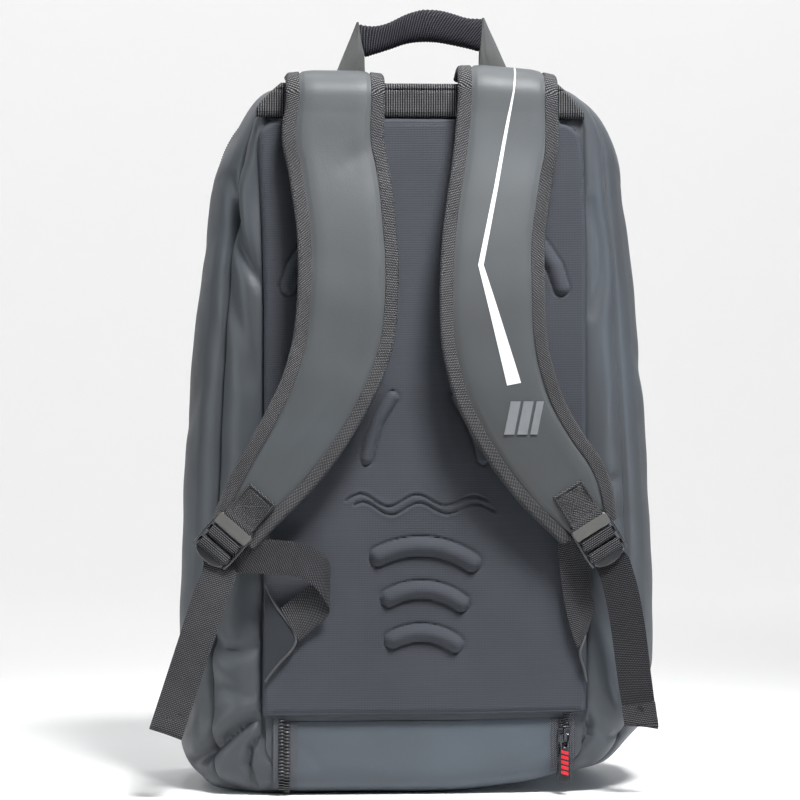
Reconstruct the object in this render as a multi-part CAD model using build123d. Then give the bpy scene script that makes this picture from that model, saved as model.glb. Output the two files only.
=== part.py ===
from build123d import *
import math
import os

# Racket backpack: a padded harness side facing -Y, an outer side facing +Y, standing on its base.
# Origin: centre of the flat base, +Z up. All sizes in millimetres.
# Heights inside this file are from the harness datum, which lies DATUM above the ground; save() lifts every piece by DATUM.

# ---------------------------------------------------------------- driving dimensions
DATUM = 5.0                # height of the harness datum above the flat base
WALL = 4.0                 # body wall: coated face fabric, foam and lining together
SEAM_Y = -58.0             # seam between the rear gusset strip and the side panel
ZIP_Y = 45.0               # plane of the main zip, all round the opening flap
ZIP_GAP = 0.2              # half of the slit between the two sides of the main zip
HINGE_Z = 115.0            # height of the sewn fold that the front flap turns on
BACK_Y = -95.0             # plane of the rear wall
FRONT_Y = 106.0            # plane of the front wall
PAD_T = 8.0                # moulded back pad thickness
PAD_HALF_W = 118.5
PAD_Z0, PAD_Z1 = 54.0, 492.0
DOOR_HALF_W = 103.0        # shoe compartment flap
DOOR_TOP = 50.0
WEB_W = 25.0               # adjusting webbing width
WEB_T = 1.3
STRAP_PIVOT = (-96.0, 506.0)   # y, z of the line that both shoulder straps swing about
STRAP_R = 13.2             # inner radius of the strap where it turns over the top edge
LINING_T, FOAM_T, FACE_T = 1.2, 8.0, 1.2
BIND_W = 3.0               # edge binding outside the foam
HANDLE_PIVOT = (-70.0, 523.0)
HANDLE_R = 43.0            # pivot to grip centre
GRIP_R = 12.0
BUCKLE_W = 31.0
BAR_UP = 4.0               # loop bar axis above the strap's face

# Stations of the soft body along Y:
# y, z bottom, z top, half width low, half width high, bottom corner (x, z), top corner z, side bulge
STATIONS = [
    (-95.0, 16.0, 512.0, 121.0, 119.0, 15.0, 16.0, 26.0, 0.0),
    (-90.0, 4.0, 516.0, 134.0, 125.0, 24.0, 24.0, 36.0, 2.0),
    (-80.0, -3.0, 519.0, 150.0, 132.0, 34.0, 34.0, 48.0, 4.0),
    (-58.0, -5.0, 521.0, 170.0, 146.0, 42.0, 42.0, 62.0, 7.0),
    (-20.0, -5.0, 523.0, 178.0, 154.0, 46.0, 46.0, 74.0, 8.0),
    (20.0, -5.0, 522.0, 178.0, 153.0, 46.0, 46.0, 74.0, 8.0),
    (34.0, -5.0, 521.0, 177.0, 152.0, 46.0, 46.0, 74.0, 8.0),
    (45.0, -5.0, 519.0, 175.0, 150.0, 46.0, 46.0, 74.0, 8.0),
    (56.0, -5.0, 516.0, 172.0, 147.0, 45.0, 45.0, 73.0, 8.0),
    (76.0, -4.0, 506.0, 163.0, 138.0, 42.0, 42.0, 70.0, 7.0),
    (92.0, 1.0, 490.0, 150.0, 126.0, 36.0, 38.0, 62.0, 5.0),
    (102.0, 11.0, 470.0, 134.0, 112.0, 26.0, 32.0, 50.0, 3.0),
    (106.0, 25.0, 450.0, 120.0, 101.0, 14.0, 26.0, 38.0, 1.0),
]
X_TOP = 92.0               # the top panel spans this half width
X_BASE = 104.0             # the base panel spans this half width
SIDE_Z = [115.0, 180.0, 245.0, 310.0, 375.0]

os.makedirs("parts", exist_ok=True)


def save(shape, name):
    export_step(Pos(0, 0, DATUM) * shape, f"parts/{name}.step")


# ---------------------------------------------------------------- faceted solids
def solid_from(tris):
    """A closed solid from triangles, each three points."""
    faces = []
    for a, b, c in tris:
        va, vb, vc = Vector(*a), Vector(*b), Vector(*c)
        if (vb - va).cross(vc - va).length < 1e-6:
            continue
        faces.append(Face(Wire.make_polygon([va, vb, vc], close=True)))
    s = Solid(Shell(faces))
    if s.volume < 0:
        s = Solid(Shell([-f for f in faces]))
    return s


def slab(front, back):
    """A closed solid between two grids of points with the same number of rows and columns."""
    n, m = len(front), len(front[0])
    t = []

    def quad(a, b, c, d):
        t.append((a, b, c))
        t.append((a, c, d))

    for i in range(n - 1):
        for j in range(m - 1):
            quad(front[i][j], front[i][j + 1], front[i + 1][j + 1], front[i + 1][j])
            quad(back[i][j], back[i + 1][j], back[i + 1][j + 1], back[i][j + 1])
    for i in range(n - 1):
        quad(front[i][0], front[i + 1][0], back[i + 1][0], back[i][0])
        quad(front[i][m - 1], back[i][m - 1], back[i + 1][m - 1], front[i + 1][m - 1])
    for j in range(m - 1):
        quad(front[0][j], back[0][j], back[0][j + 1], front[0][j + 1])
        quad(front[n - 1][j], front[n - 1][j + 1], back[n - 1][j + 1], back[n - 1][j])
    return solid_from(t)


def ribbon(stations, t0, t1, inset=(0.0, 0.0)):
    """A band through stations of (left point, right point, outward normal), between offsets t0 and t1 along the normal.
    inset = (from, to) distances from the left edge; (0, 0) is the whole width; negative values count from the right edge."""
    front, back = [], []
    for left, right, n in stations:
        lv, rv, nv = Vector(*left), Vector(*right), Vector(*n).normalized()
        w = (rv - lv).normalized()
        a, b = lv, rv
        if inset != (0.0, 0.0):
            lo, hi = inset
            a = lv + w * lo if lo >= 0 else rv + w * lo
            b = lv + w * hi if hi > 0 else rv + w * hi
        front.append([tuple(a + nv * t1), tuple(b + nv * t1)])
        back.append([tuple(a + nv * t0), tuple(b + nv * t0)])
    return slab(front, back)


def lerp(a, b, t):
    return a + (b - a) * t


def station_at(y):
    for p, q in zip(STATIONS, STATIONS[1:]):
        if p[0] - 1e-9 <= y <= q[0] + 1e-9:
            t = (y - p[0]) / (q[0] - p[0])
            return tuple(lerp(u, v, t) for u, v in zip(p, q))
    raise ValueError(y)


def outline(y, off):
    """Half outline at y from the base centre to the top centre, moved inwards by off: list of (x, z)."""
    _, z0, z1, wb, wt, rbx, rbz, rtz, bulge = station_at(y)
    z0, z1, wb, wt = z0 + off, z1 - off, wb - off, wt - off
    rbx, rbz, rtz = rbx - off, rbz - off, rtz - off
    rtx = wt - X_TOP
    pts = [(0.0, z0), (X_BASE / 2, z0), (X_BASE, z0)]
    cx, cz = wb - rbx, z0 + rbz
    for k in range(5):
        a = math.radians(-90 + 22.5 * k)
        x = cx + rbx * math.cos(a)
        if k == 0 and x <= X_BASE + 0.05:
            x = X_BASE + 0.05
        pts.append((x, cz + rbz * math.sin(a)))
    za, zb = z0 + rbz, z1 - rtz
    for z in SIDE_Z:
        t = (z - za) / (zb - za)
        pts.append((lerp(wb, wt, t) + 4 * bulge * t * (1 - t), z))
    for k in range(6):
        a = math.radians(18 * k)
        pts.append((X_TOP + rtx * math.cos(a), z1 - rtz + rtz * math.sin(a)))
    pts.append((X_TOP / 2, z1))
    pts.append((0.0, z1))
    return pts


I_BASE = 2                  # outline index of |x| = X_BASE on the base
I_HINGE = 8                 # outline index of z = 115 on the side
I_TOP = 18                  # outline index of |x| = X_TOP on the top
I_END = 20


def shell(ys, i0, i1, side, outer=0.0, inner=WALL):
    """A wall patch: outline indices i0 to i1 over the y stations. side is 1 for +X, -1 for -X, 0 for both halves joined at x = 0."""
    f, b = [], []
    for y in ys:
        o, n = outline(y, outer)[i0:i1 + 1], outline(y, inner)[i0:i1 + 1]
        if side:
            f.append([(side * x, y, z) for x, z in o])
            b.append([(side * x, y, z) for x, z in n])
        else:
            if i0 == 0:
                mo, mn = [(-x, z) for x, z in reversed(o[1:])], [(-x, z) for x, z in reversed(n[1:])]
                o2, n2 = mo + o, mn + n
            else:
                mo, mn = [(-x, z) for x, z in reversed(o[:-1])], [(-x, z) for x, z in reversed(n[:-1])]
                o2, n2 = o + mo, n + mn
            f.append([(x, y, z) for x, z in o2])
            b.append([(x, y, z) for x, z in n2])
    return slab(f, b)


def full_outline(y, off):
    o = outline(y, off)
    return o + [(-x, z) for x, z in reversed(o[1:-1])]


def plate(points, y0, y1):
    """A flat plate: a polygon in X and Z, from y0 to y1."""
    w = Wire.make_polygon([Vector(x, y0, z) for x, z in points], close=True)
    return Solid.extrude(Face(w), Vector(0, y1 - y0, 0))


def box(x0, x1, y0, y1, z0, z1):
    return Pos((x0 + x1) / 2, (y0 + y1) / 2, (z0 + z1) / 2) * Box(x1 - x0, y1 - y0, z1 - z0)


def bar(x0, x1, profile):
    """A bar along X from a closed profile of (y, z) points."""
    w = Wire.make_polygon([Vector(x0, y, z) for y, z in profile], close=True)
    return Solid.extrude(Face(w), Vector(x1 - x0, 0, 0))


# ---------------------------------------------------------------- body
REAR = [-95.0, -90.0, -80.0, SEAM_Y]
SIDE = [SEAM_Y, -20.0, 20.0, 34.0, ZIP_Y - ZIP_GAP]
FRONT = [ZIP_Y + ZIP_GAP, 56.0, 76.0, 92.0, 102.0, 106.0]
for name, side in (("left", -1), ("right", 1)):
    save(shell(REAR, I_BASE, I_TOP, side), f"rear_gusset_{name}")
    save(shell(SIDE, I_BASE, I_TOP, side), f"side_panel_{name}")
    save(shell(FRONT, I_HINGE, I_TOP, side), f"flap_gusset_{name}")
save(shell(REAR[:-1] + SIDE, I_TOP, I_END, 0), "top_panel")
save(shell([-81.0, SEAM_Y, -20.0, 20.0, 45.0, 56.0, 76.0, 92.0, 102.0, 106.0], 0, I_BASE, 0), "base_panel")
save(shell(FRONT, I_TOP, I_END, 0), "flap_gusset_top")

rear_poly = full_outline(-95.0, WALL)
rear_panel = plate(rear_poly, BACK_Y, BACK_Y + WALL) - box(-DOOR_HALF_W - 0.6, DOOR_HALF_W + 0.6, -99, -87, -20, DOOR_TOP + 0.5)
save(rear_panel, "rear_panel")

front_poly = full_outline(FRONT_Y, WALL)
front_all = plate(front_poly, FRONT_Y - WALL, FRONT_Y)
low = front_all & box(-200, 200, 90, 120, -20, HINGE_Z - 0.4)
high = front_all & box(-200, 200, 90, 120, HINGE_Z + 0.3, 600)
low_front = [shell([45.0] + FRONT[1:], I_BASE, I_HINGE, s) for s in (-1, 1)]
# The fold line: the flap's lower rim stops just above the fixed lower part.
cut = box(-200, 200, 40, 120, HINGE_Z - 0.4, HINGE_Z + 3)
save(Compound([s - cut for s in low_front] + list(low.solids())), "lower_front_panel")
save(high, "flap_front_panel")

# Slanted floor between the racket compartment and the shoe compartment.
floor = []
for y in (-90.0, -80.0, -58.0, -20.0, 20.0, 45.0, 56.0, 76.0, 92.0, 101.6):
    z = lerp(53.0, 104.0, (y + 90.0) / 191.6)
    _, z0, z1, wb, wt, rbx, rbz, rtz, bulge = station_at(y)
    t = (z - z0 - rbz) / (z1 - rtz - z0 - rbz)
    x = lerp(wb, wt, t) + 4 * bulge * t * (1 - t) - WALL - 2.4
    if y < -90:
        x = 112.0
    floor.append(((-x, y, z), (x, y, z), (0, -0.25, 1)))
save(ribbon(floor, 0.0, 3.0), "compartment_floor")

# Stiffener board behind the lining.
save(Pos(0, -90.2, 285) * Box(196, 1.6, 400), "frame_sheet")

# ---------------------------------------------------------------- moulded back pad
def arc_points(x0, z0, x1, z1, rise, n=9):
    """Points on a circular arc from (x0, z0) to (x1, z1) that rises by rise at its middle, to the left of the way it runs."""
    dx, dz = x1 - x0, z1 - z0
    c = math.hypot(dx, dz)
    r = (c * c / 4 + rise * rise) / (2 * rise)
    mx, mz = (x0 + x1) / 2, (z0 + z1) / 2
    nx, nz = -dz / c, dx / c
    ox, oz = mx + nx * (rise - r), mz + nz * (rise - r)
    a0, a1 = math.atan2(z0 - oz, x0 - ox), math.atan2(z1 - oz, x1 - ox)
    while a1 - a0 > math.pi:
        a1 -= 2 * math.pi
    while a0 - a1 > math.pi:
        a1 += 2 * math.pi
    return [(ox + abs(r) * math.cos(lerp(a0, a1, k / (n - 1))), oz + abs(r) * math.sin(lerp(a0, a1, k / (n - 1)))) for k in range(n)]


def ridge(points, half):
    """A raised rib of half width half along points of (x, z) on the pad, 4 mm proud, with tapered sides."""
    f, b = [], []
    for i, (x, z) in enumerate(points):
        xa, za = points[max(i - 1, 0)]
        xb, zb = points[min(i + 1, len(points) - 1)]
        d = math.hypot(xb - xa, zb - za)
        nx, nz = -(zb - za) / d, (xb - xa) / d
        h = half * (0.7 if i in (0, len(points) - 1) else 1.0)
        y0, y1 = BACK_Y - PAD_T, BACK_Y - PAD_T - 4.0
        row_f, row_b = [], []
        for s, depth in ((-1.0, 0.6), (-0.55, 1.0), (0.55, 1.0), (1.0, 0.6)):
            row_f.append((x + nx * h * s, lerp(y0, y1, depth), z + nz * h * s))
            row_b.append((x + nx * h * s, y0, z + nz * h * s))
        f.append(row_f)
        b.append(row_b)
    return slab(f, b)


pad = Pos(0, BACK_Y - PAD_T / 2, (PAD_Z0 + PAD_Z1) / 2) * Box(2 * PAD_HALF_W, PAD_T, PAD_Z1 - PAD_Z0)
pad = fillet(pad.edges().filter_by(Axis.Y).sort_by(Axis.Z)[-2:], 20.0)
pad = fillet(pad.edges().filter_by(Axis.Y).sort_by(Axis.Z)[:2], 5.0)
save(pad, "back_pad")
RIDGES = [
    (arc_points(-41.0, 166.0, 37.0, 164.0, 17.0), 7.0),
    (arc_points(-33.0, 141.0, 30.5, 139.5, 13.5), 6.2),
    (arc_points(-29.0, 113.0, 26.5, 111.5, 12.0), 6.0),
]
save(Compound([ridge(p, h) for p, h in RIDGES]), "lumbar_ridges")
SIDE_RIDGES = []
for s in (-1, 1):
    SIDE_RIDGES.append(([(s * 99, 372), (s * 93, 388), (s * 84, 402), (s * 72, 413)], 6.5))
    SIDE_RIDGES.append(([(s * 45, 243), (s * 41, 256), (s * 34.5, 272), (s * 26, 288)], 5.0))
save(Compound([ridge(p, h) for p, h in SIDE_RIDGES]), "shoulder_ridges")

# Ribbed band across the top of the harness side.
band = box(-115, 115, BACK_Y - 7.0, BACK_Y, PAD_Z1 + 0.5, 515.5)
band = fillet(band.edges().filter_by(Axis.Y).sort_by(Axis.Z)[-2:], 12.0)
save(band, "top_band")

# Triangular wings that hold the lower webbing.
save(plate([(-117.5, 151.0), (-96.7, 110.5), (-117.5, 84.0)], -106.0, -103.2), "webbing_wing_left")
wing_r = slab(
    [[(117.0, -103.4, 146.0), (117.0, -103.4, 80.0)], [(113.4, -108.6, 116.0), (113.4, -108.6, 104.0)]],
    [[(119.4, -103.4, 146.0), (119.4, -103.4, 80.0)], [(115.8, -108.9, 116.0), (115.8, -108.9, 104.0)]],
)
save(wing_r, "webbing_wing_right")

# ---------------------------------------------------------------- webbing runs at the bottom of the harness
def web(stations, t=WEB_T, width=WEB_W):
    """A band through stations of (centre, width direction, outward normal)."""
    out = []
    for c, w, n in stations:
        cv, wv = Vector(*c), Vector(*w).normalized() * (width / 2)
        out.append((tuple(cv - wv), tuple(cv + wv), n))
    return ribbon(out, -t / 2, t / 2)


save(web([
    ((-104.5, -106.8, 121.0), (0.39, 0, -0.92), (0, -1, 0)),
    ((-92.0, -107.2, 132.0), (0.50, 0, -0.86), (0, -1, 0)),
    ((-81.0, -108.8, 144.0), (0.56, 0, -0.83), (0.25, -1, 0.1)),
    ((-73.5, -111.8, 154.0), (0.45, 0.1, -0.88), (0.8, -0.7, 0.3)),
    ((-71.0, -115.6, 161.0), (0.20, 0.1, -0.97), (1.0, 0.0, 0.2)),
    ((-74.5, -118.6, 166.5), (0.05, 0.05, -0.99), (0.6, 0.9, 0.1)),
    ((-84.0, -119.0, 169.5), (-0.05, 0, -1.0), (0.0, 1, 0)),
    ((-96.0, -114.8, 170.5), (-0.05, 0, -1.0), (-0.28, 1, 0)),
    ((-106.0, -111.0, 170.0), (0.0, 0, -1.0), (-0.2, 1, 0)),
    ((-118.0, -109.8, 169.0), (0.08, 0, -1.0), (0.0, 1, 0)),
    ((-132.0, -109.6, 167.0), (0.2, 0, -1.0), (0.0, 1, 0)),
]), "lower_webbing_left")
save(web([
    ((113.0, -113.4, 112.0), (0.80, -0.60, 0.0), (-0.6, -0.80, 0)),
    ((112.4, -112.6, 124.0), (0.89, -0.45, 0.0), (-0.45, -0.89, 0)),
    ((111.4, -111.6, 138.0), (0.98, -0.18, 0.0), (-0.18, -0.98, 0)),
    ((109.6, -110.6, 156.0), (0.99, 0.0, 0.05), (0, -1, 0)),
    ((109.5, -110.0, 174.0), (0.99, 0.0, 0.10), (0, -1, 0)),
    ((114.0, -109.8, 190.0), (0.96, 0.0, 0.28), (0, -1, 0)),
]), "lower_webbing_right")

# ---------------------------------------------------------------- shoe compartment flap and zip
def profile_band(y_top, z_top, off0, off1):
    """Closed (y, z) profile of the flap wall between two inward offsets: flat, then curled under."""
    curve = [(-95.0, z_top), (-95.0, 18.0), (-93.4, 9.6), (-90.2, 4.0), (-86.0, 0.4), (-82.2, -1.4)]
    norms = [(-1.0, 0.0), (-0.99, -0.12), (-0.92, -0.4), (-0.7, -0.71), (-0.42, -0.9), (-0.3, -0.95)]
    a = [(y - n[0] * off0, z - n[1] * off0) for (y, z), n in zip(curve, norms)]
    b = [(y - n[0] * off1, z - n[1] * off1) for (y, z), n in zip(curve, norms)]
    return a + b[::-1]


save(bar(-DOOR_HALF_W, DOOR_HALF_W, profile_band(-95, DOOR_TOP, 0.0, 3.0)), "shoe_flap")
TAPE_W = 8.0
door_tape = [
    bar(s * (DOOR_HALF_W - TAPE_W), s * DOOR_HALF_W, profile_band(-95, DOOR_TOP - 1.0, -1.0, -0.02))
    for s in (-1, 1)
]
save(Compound(door_tape), "shoe_zip_tape_flap")
door_teeth = [bar(s * (DOOR_HALF_W - 2.4), s * (DOOR_HALF_W - 0.1), profile_band(-95, DOOR_TOP - 2.0, -2.6, -1.02)) for s in (-1, 1)]
save(Compound(door_teeth), "shoe_zip_teeth_flap")
bag_tape = [box(*sorted((s * (DOOR_HALF_W + 0.8), s * (DOOR_HALF_W + TAPE_W))), -96.0, -95.02, 24.0, 53.6) for s in (-1, 1)]
save(Compound(bag_tape), "shoe_zip_tape_body")
bag_teeth = [box(*sorted((s * (DOOR_HALF_W + 0.9), s * (DOOR_HALF_W + 3.0))), -97.6, -96.02, 24.5, 53.4) for s in (-1, 1)]
save(Compound(bag_teeth), "shoe_zip_teeth_body")


def oriented(shape, origin, x_dir, z_dir):
    return Plane(origin=origin, x_dir=x_dir, z_dir=z_dir).location * shape


def zip_slider():
    """Local: x along the chain, z away from it, origin under the middle of the body."""
    body = Pos(0, 0, 1.5) * Box(12, 9, 3)
    body = fillet(body.edges().filter_by(Axis.Z), 2.6)
    body = chamfer(body.faces().sort_by(Axis.Z)[-1].edges(), 0.5)
    crown = Pos(0, 0, 5.0) * Box(9.6, 2.2, 4.2)
    crown = fillet(crown.edges().filter_by(Axis.Y).sort_by(Axis.Z)[-2:], 1.6)
    crown = crown - Pos(0, 0, 4.3) * Box(6.4, 4, 2.8)
    return body + crown


def zip_pull(length, width):
    """Local: hangs along -x from its cross bar on the y axis at x = 0, z = 0."""
    cross = Rot(90, 0, 0) * Cylinder(0.7, 6.4)
    arms = [Pos(-4.6, s * 2.5, 0) * Box(9.2, 1.4, 1.4) for s in (-1, 1)]
    tab = Pos(-9.0 - (length - 9.0) / 2, 0, 0) * Box(length - 9.0, width, 2.2)
    tab = fillet(tab.edges().filter_by(Axis.Z), width * 0.3)
    s = cross
    for a in arms:
        s = s + a
    return s + tab


# Shoe zip slider rides on the flap's own tape, parked at the top of the right-hand leg.
SHOE_SLIDER_Z = 40.0
save(oriented(zip_slider(), (DOOR_HALF_W + 0.4, -98.2, SHOE_SLIDER_Z), (0, 0, 1), (0, -1, 0)), "shoe_zip_slider")
save(oriented(zip_pull(36.0, 9.0), (DOOR_HALF_W + 0.4, -98.2 - 4.3, SHOE_SLIDER_Z), (0, 0, 1), (0, -1, 0)), "shoe_zip_pull")

# ---------------------------------------------------------------- main zip
def strip(y0, y1, i0, i1, side, o0, o1):
    return shell([y0, y1], i0, i1, side, outer=o0, inner=o1)


YB, YF = ZIP_Y - ZIP_GAP, ZIP_Y + ZIP_GAP
save(Compound([strip(36.5, YB, I_HINGE, I_TOP, s, -1.1, -0.14) for s in (-1, 1)] + [strip(36.5, YB, I_TOP, I_END, 0, -1.1, -0.14)]), "main_zip_tape_body")
save(Compound([strip(42.8, YB, I_HINGE, I_TOP, s, -2.9, -1.2) for s in (-1, 1)] + [strip(42.8, YB, I_TOP, I_END, 0, -2.9, -1.2)]), "main_zip_teeth_body")
save(Compound([strip(YF, 53.5, I_HINGE, I_TOP, s, -1.1, -0.14) for s in (-1, 1)] + [strip(YF, 53.5, I_TOP, I_END, 0, -1.1, -0.14)]), "main_zip_tape_flap")
save(Compound([strip(YF, 47.2, I_HINGE, I_TOP, s, -2.9, -1.2) for s in (-1, 1)] + [strip(YF, 47.2, I_TOP, I_END, 0, -2.9, -1.2)]), "main_zip_teeth_flap")
MAIN_SLIDER_Z = 519.0 + 3.9
for name, s in (("left", -1), ("right", 1)):
    save(oriented(zip_slider(), (s * 8.0, ZIP_Y, MAIN_SLIDER_Z), (-s, 0, 0), (0, 0, 1)), f"main_zip_slider_{name}")
    save(oriented(zip_pull(36.0, 9.0), (s * 8.0, ZIP_Y, MAIN_SLIDER_Z + 4.3), (-s, 0, 0), (0, 0, 1)), f"main_zip_pull_{name}")

# ---------------------------------------------------------------- front pocket, sewn flat on the flap
pocket = Pos(0, FRONT_Y + 1.6, 228) * Box(188, 3.2, 176)
pocket = fillet(pocket.edges().filter_by(Axis.Y), 16.0)
pocket = pocket - box(-84, 84, 100, 120, 293.2, 296.8)
save(pocket, "front_pocket")
save(Compound([box(-83.5, 83.5, FRONT_Y + 0.1, FRONT_Y + 1.1, 293.4, 294.8), box(-83.5, 83.5, FRONT_Y + 0.1, FRONT_Y + 1.1, 295.2, 296.6)]), "pocket_zip_tape")
save(Compound([box(-83, 83, FRONT_Y + 1.15, FRONT_Y + 3.4, 293.6, 294.9), box(-83, 83, FRONT_Y + 1.15, FRONT_Y + 3.4, 295.1, 296.4)]), "pocket_zip_teeth")
save(oriented(zip_slider(), (76.0, FRONT_Y + 3.9, 295.0), (1, 0, 0), (0, 1, 0)), "pocket_zip_slider")
save(oriented(zip_pull(34.0, 9.0), (76.0, FRONT_Y + 3.9 + 4.3, 295.0), (1, 0, 0), (0, 1, 0)), "pocket_zip_pull")

# ---------------------------------------------------------------- carry handle
hy, hz = HANDLE_PIVOT
legs = []
for s in (-1, 1):
    st = [
        ((s * 63.5, hy, hz - 0.6), (s * 42.5, hy, hz - 0.6), (0, -1, 0)),
        ((s * 60.5, hy, hz + 12.0), (s * 43.5, hy, hz + 12.0), (0, -1, 0)),
        ((s * 57.5, hy, hz + 23.5), (s * 46.5, hy, hz + 23.5), (0, -1, 0)),
        ((s * 50.5, hy, hz + 46.0), (s * 46.6, hy, hz + 46.0), (0, -1, 0)),
    ]
    legs.append(ribbon(st, -1.4, 1.4))
save(Compound(legs), "handle_webbing")
grip_rows = []
GRIP = [(-46.0, 37.5), (-30.0, 41.0), (-12.0, 43.2), (4.0, 43.6), (20.0, 43.0), (34.0, 41.0), (46.0, 38.5)]
front, back = [], []
for x, r in GRIP:
    ring = [(x, hy + GRIP_R * 0.62 * math.cos(math.radians(a)), hz + r + GRIP_R * math.sin(math.radians(a))) for a in range(-90, 91, 30)]
    ring2 = [(x, hy - GRIP_R * 0.62 * math.cos(math.radians(a)), hz + r + GRIP_R * math.sin(math.radians(a))) for a in range(-90, 91, 30)]
    front.append(ring)
    back.append(ring2)
ftris = []
n, m = len(front), len(front[0])
for i in range(n - 1):
    for j in range(m - 1):
        for g in (front, back):
            ftris.append((g[i][j], g[i][j + 1], g[i + 1][j + 1]))
            ftris.append((g[i][j], g[i + 1][j + 1], g[i + 1][j]))
for i in (0, n - 1):
    for j in range(m - 1):
        ftris.append((front[i][j], front[i][j + 1], back[i][j + 1]))
        ftris.append((front[i][j], back[i][j + 1], back[i][j]))
save(solid_from(ftris), "handle_grip")

# ---------------------------------------------------------------- shoulder straps
LEFT_OUT = [(-102.4, 500.0), (-105.3, 490.0), (-105.6, 475.0), (-101.9, 457.0), (-98.3, 433.0), (-95.1, 406.9), (-94.4, 385.1), (-95.1, 359.7), (-97.7, 334.2), (-104.6, 307.3), (-117.6, 278.3), (-132.1, 252.2), (-146.3, 225.1), (-153.1, 208.7), (-156.0, 202.0)]
LEFT_IN = [(-30.6, 500.0), (-31.6, 490.0), (-31.3, 475.0), (-28.3, 457.4), (-25.2, 433.4), (-23.3, 407.2), (-21.8, 385.3), (-22.3, 359.8), (-24.5, 332.9), (-31.8, 307.4), (-44.2, 280.5), (-60.9, 252.1), (-80.6, 225.9), (-106.7, 199.1), (-126.0, 178.8)]
RIGHT_IN = [(23.5, 500.0), (22.0, 488.0), (20.8, 475.9), (18.6, 457.6), (15.7, 439.4), (12.1, 415.3), (9.5, 387.6), (8.4, 350.4), (9.6, 326.4), (13.5, 308.1), (18.6, 289.9), (31.1, 263.7), (49.4, 235.2), (71.4, 208.1), (99.0, 182.0)]
RIGHT_OUT = [(96.6, 500.0), (96.9, 492.0), (96.8, 482.0), (96.4, 470.5), (92.7, 452.2), (89.1, 431.0), (84.7, 396.6), (84.9, 350.6), (87.6, 323.5), (92.7, 304.5), (97.9, 289.9), (111.9, 265.1), (129.6, 239.4), (137.5, 215.3), (139.0, 200.5)]


def resample(pts, n):
    cum = [0.0]
    for a, b in zip(pts, pts[1:]):
        cum.append(cum[-1] + math.hypot(b[0] - a[0], b[1] - a[1]))
    out = []
    for k in range(n):
        s = cum[-1] * k / (n - 1)
        i = max(j for j in range(len(cum)) if cum[j] <= s + 1e-9)
        i = min(i, len(pts) - 2)
        t = (s - cum[i]) / (cum[i + 1] - cum[i])
        out.append((lerp(pts[i][0], pts[i + 1][0], t), lerp(pts[i][1], pts[i + 1][1], t)))
    return out


BACK_PROFILE = [(500.0, -109.2), (470.0, -112.0), (430.0, -119.0), (390.0, -125.0), (350.0, -128.5), (310.0, -128.5), (270.0, -125.0), (235.0, -120.0), (205.0, -116.0), (150.0, -111.5)]


def back_y(z):
    p = BACK_PROFILE
    if z >= p[0][0]:
        return p[0][1]
    for (za, ya), (zb, yb) in zip(p, p[1:]):
        if za >= z >= zb:
            return lerp(ya, yb, (za - z) / (za - zb))
    return p[-1][1]


def strap_stations(left_edge, right_edge):
    """Stations of (left, right, outward normal), from the top edge of the body, over it and down to the buckle."""
    py, pz = STRAP_PIVOT
    l = resample(left_edge, 17)
    r = resample(right_edge, 17)
    st = []
    for a in (90, 110, 130, 150, 168):
        ca, sa = math.cos(math.radians(a)), math.sin(math.radians(a))
        st.append(((l[0][0], py + STRAP_R * ca, pz + STRAP_R * sa), (r[0][0], py + STRAP_R * ca, pz + STRAP_R * sa), (0, ca, sa)))
    mids = [((a[0] + b[0]) / 2, (a[1] + b[1]) / 2) for a, b in zip(l, r)]
    for k in range(17):
        yl, yr = back_y(l[k][1]), back_y(r[k][1])
        ym = back_y(mids[k][1])
        pl, pr = Vector(l[k][0], ym, l[k][1]), Vector(r[k][0], ym, r[k][1])
        a, b = mids[max(k - 1, 0)], mids[min(k + 1, 16)]
        tangent = Vector(b[0] - a[0], back_y(b[1]) - back_y(a[1]), b[1] - a[1])
        nrm = (pr - pl).cross(tangent)
        if nrm.Y > 0:
            nrm = nrm * -1
        nrm = nrm.normalized()
        st.append((tuple(pl), tuple(pr), tuple(nrm)))
    return st


def along(v, w, s):
    return tuple(Vector(*v) + Vector(*w) * s)


def ladder_lock():
    """Local: x across, y down the strap, z outwards, origin on the loop bar's axis."""
    w = BUCKLE_W
    inner = w - 5.0
    rails = [Pos(s * (w / 2 - 1.5), 16.5, 0) * Box(3.0, 37.0, 4.0) for s in (-1, 1)]
    rails = [fillet(r.edges().filter_by(Axis.X), 1.4) for r in rails]
    loop_bar = Rot(0, 90, 0) * Cylinder(1.8, inner)
    plate = Pos(0, 7.7, 0.9) * Box(inner, 7.6, 2.2)
    plate = fillet(plate.edges().filter_by(Axis.X), 0.8)
    mid = Pos(0, 16.2, -0.7) * Box(inner, 5.4, 1.8)
    end = Pos(0, 27.0, -0.7) * Box(inner, 4.8, 1.8)
    lip = Pos(0, 34.2, -0.2) * Box(inner, 4.8, 2.6)
    lip = fillet(lip.edges().filter_by(Axis.X), 1.0)
    s = rails[0]
    for q in (rails[1], loop_bar, plate, mid, end, lip):
        s = s + q
    return s


def strap_tab():
    """Folded webbing tab: flat double patch on the strap's face, and a loop round the bar. Local as ladder_lock, face at z = -BAR_UP."""
    def yz(points):
        w = Wire.make_polygon([Vector(-tab_w / 2, y, z) for y, z in points], close=True)
        return Solid.extrude(Face(w), Vector(tab_w, 0, 0))

    tab_w = WEB_W - 0.6
    ring = Rot(0, 90, 0) * (Cylinder(3.6, tab_w) - Cylinder(2.3, tab_w + 2))
    patch = yz([(-25.0, -3.4), (-25.0, -0.9), (-8.0, -1.1), (-1.4, 2.0), (-1.2, 3.35), (0.0, 3.55), (0.0, 2.35), (-2.2, 0.8), (-5.2, -2.0), (-1.0, -2.5), (0.0, -2.35), (0.0, -3.55), (-2.0, -3.7)])
    return ring + patch


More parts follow.
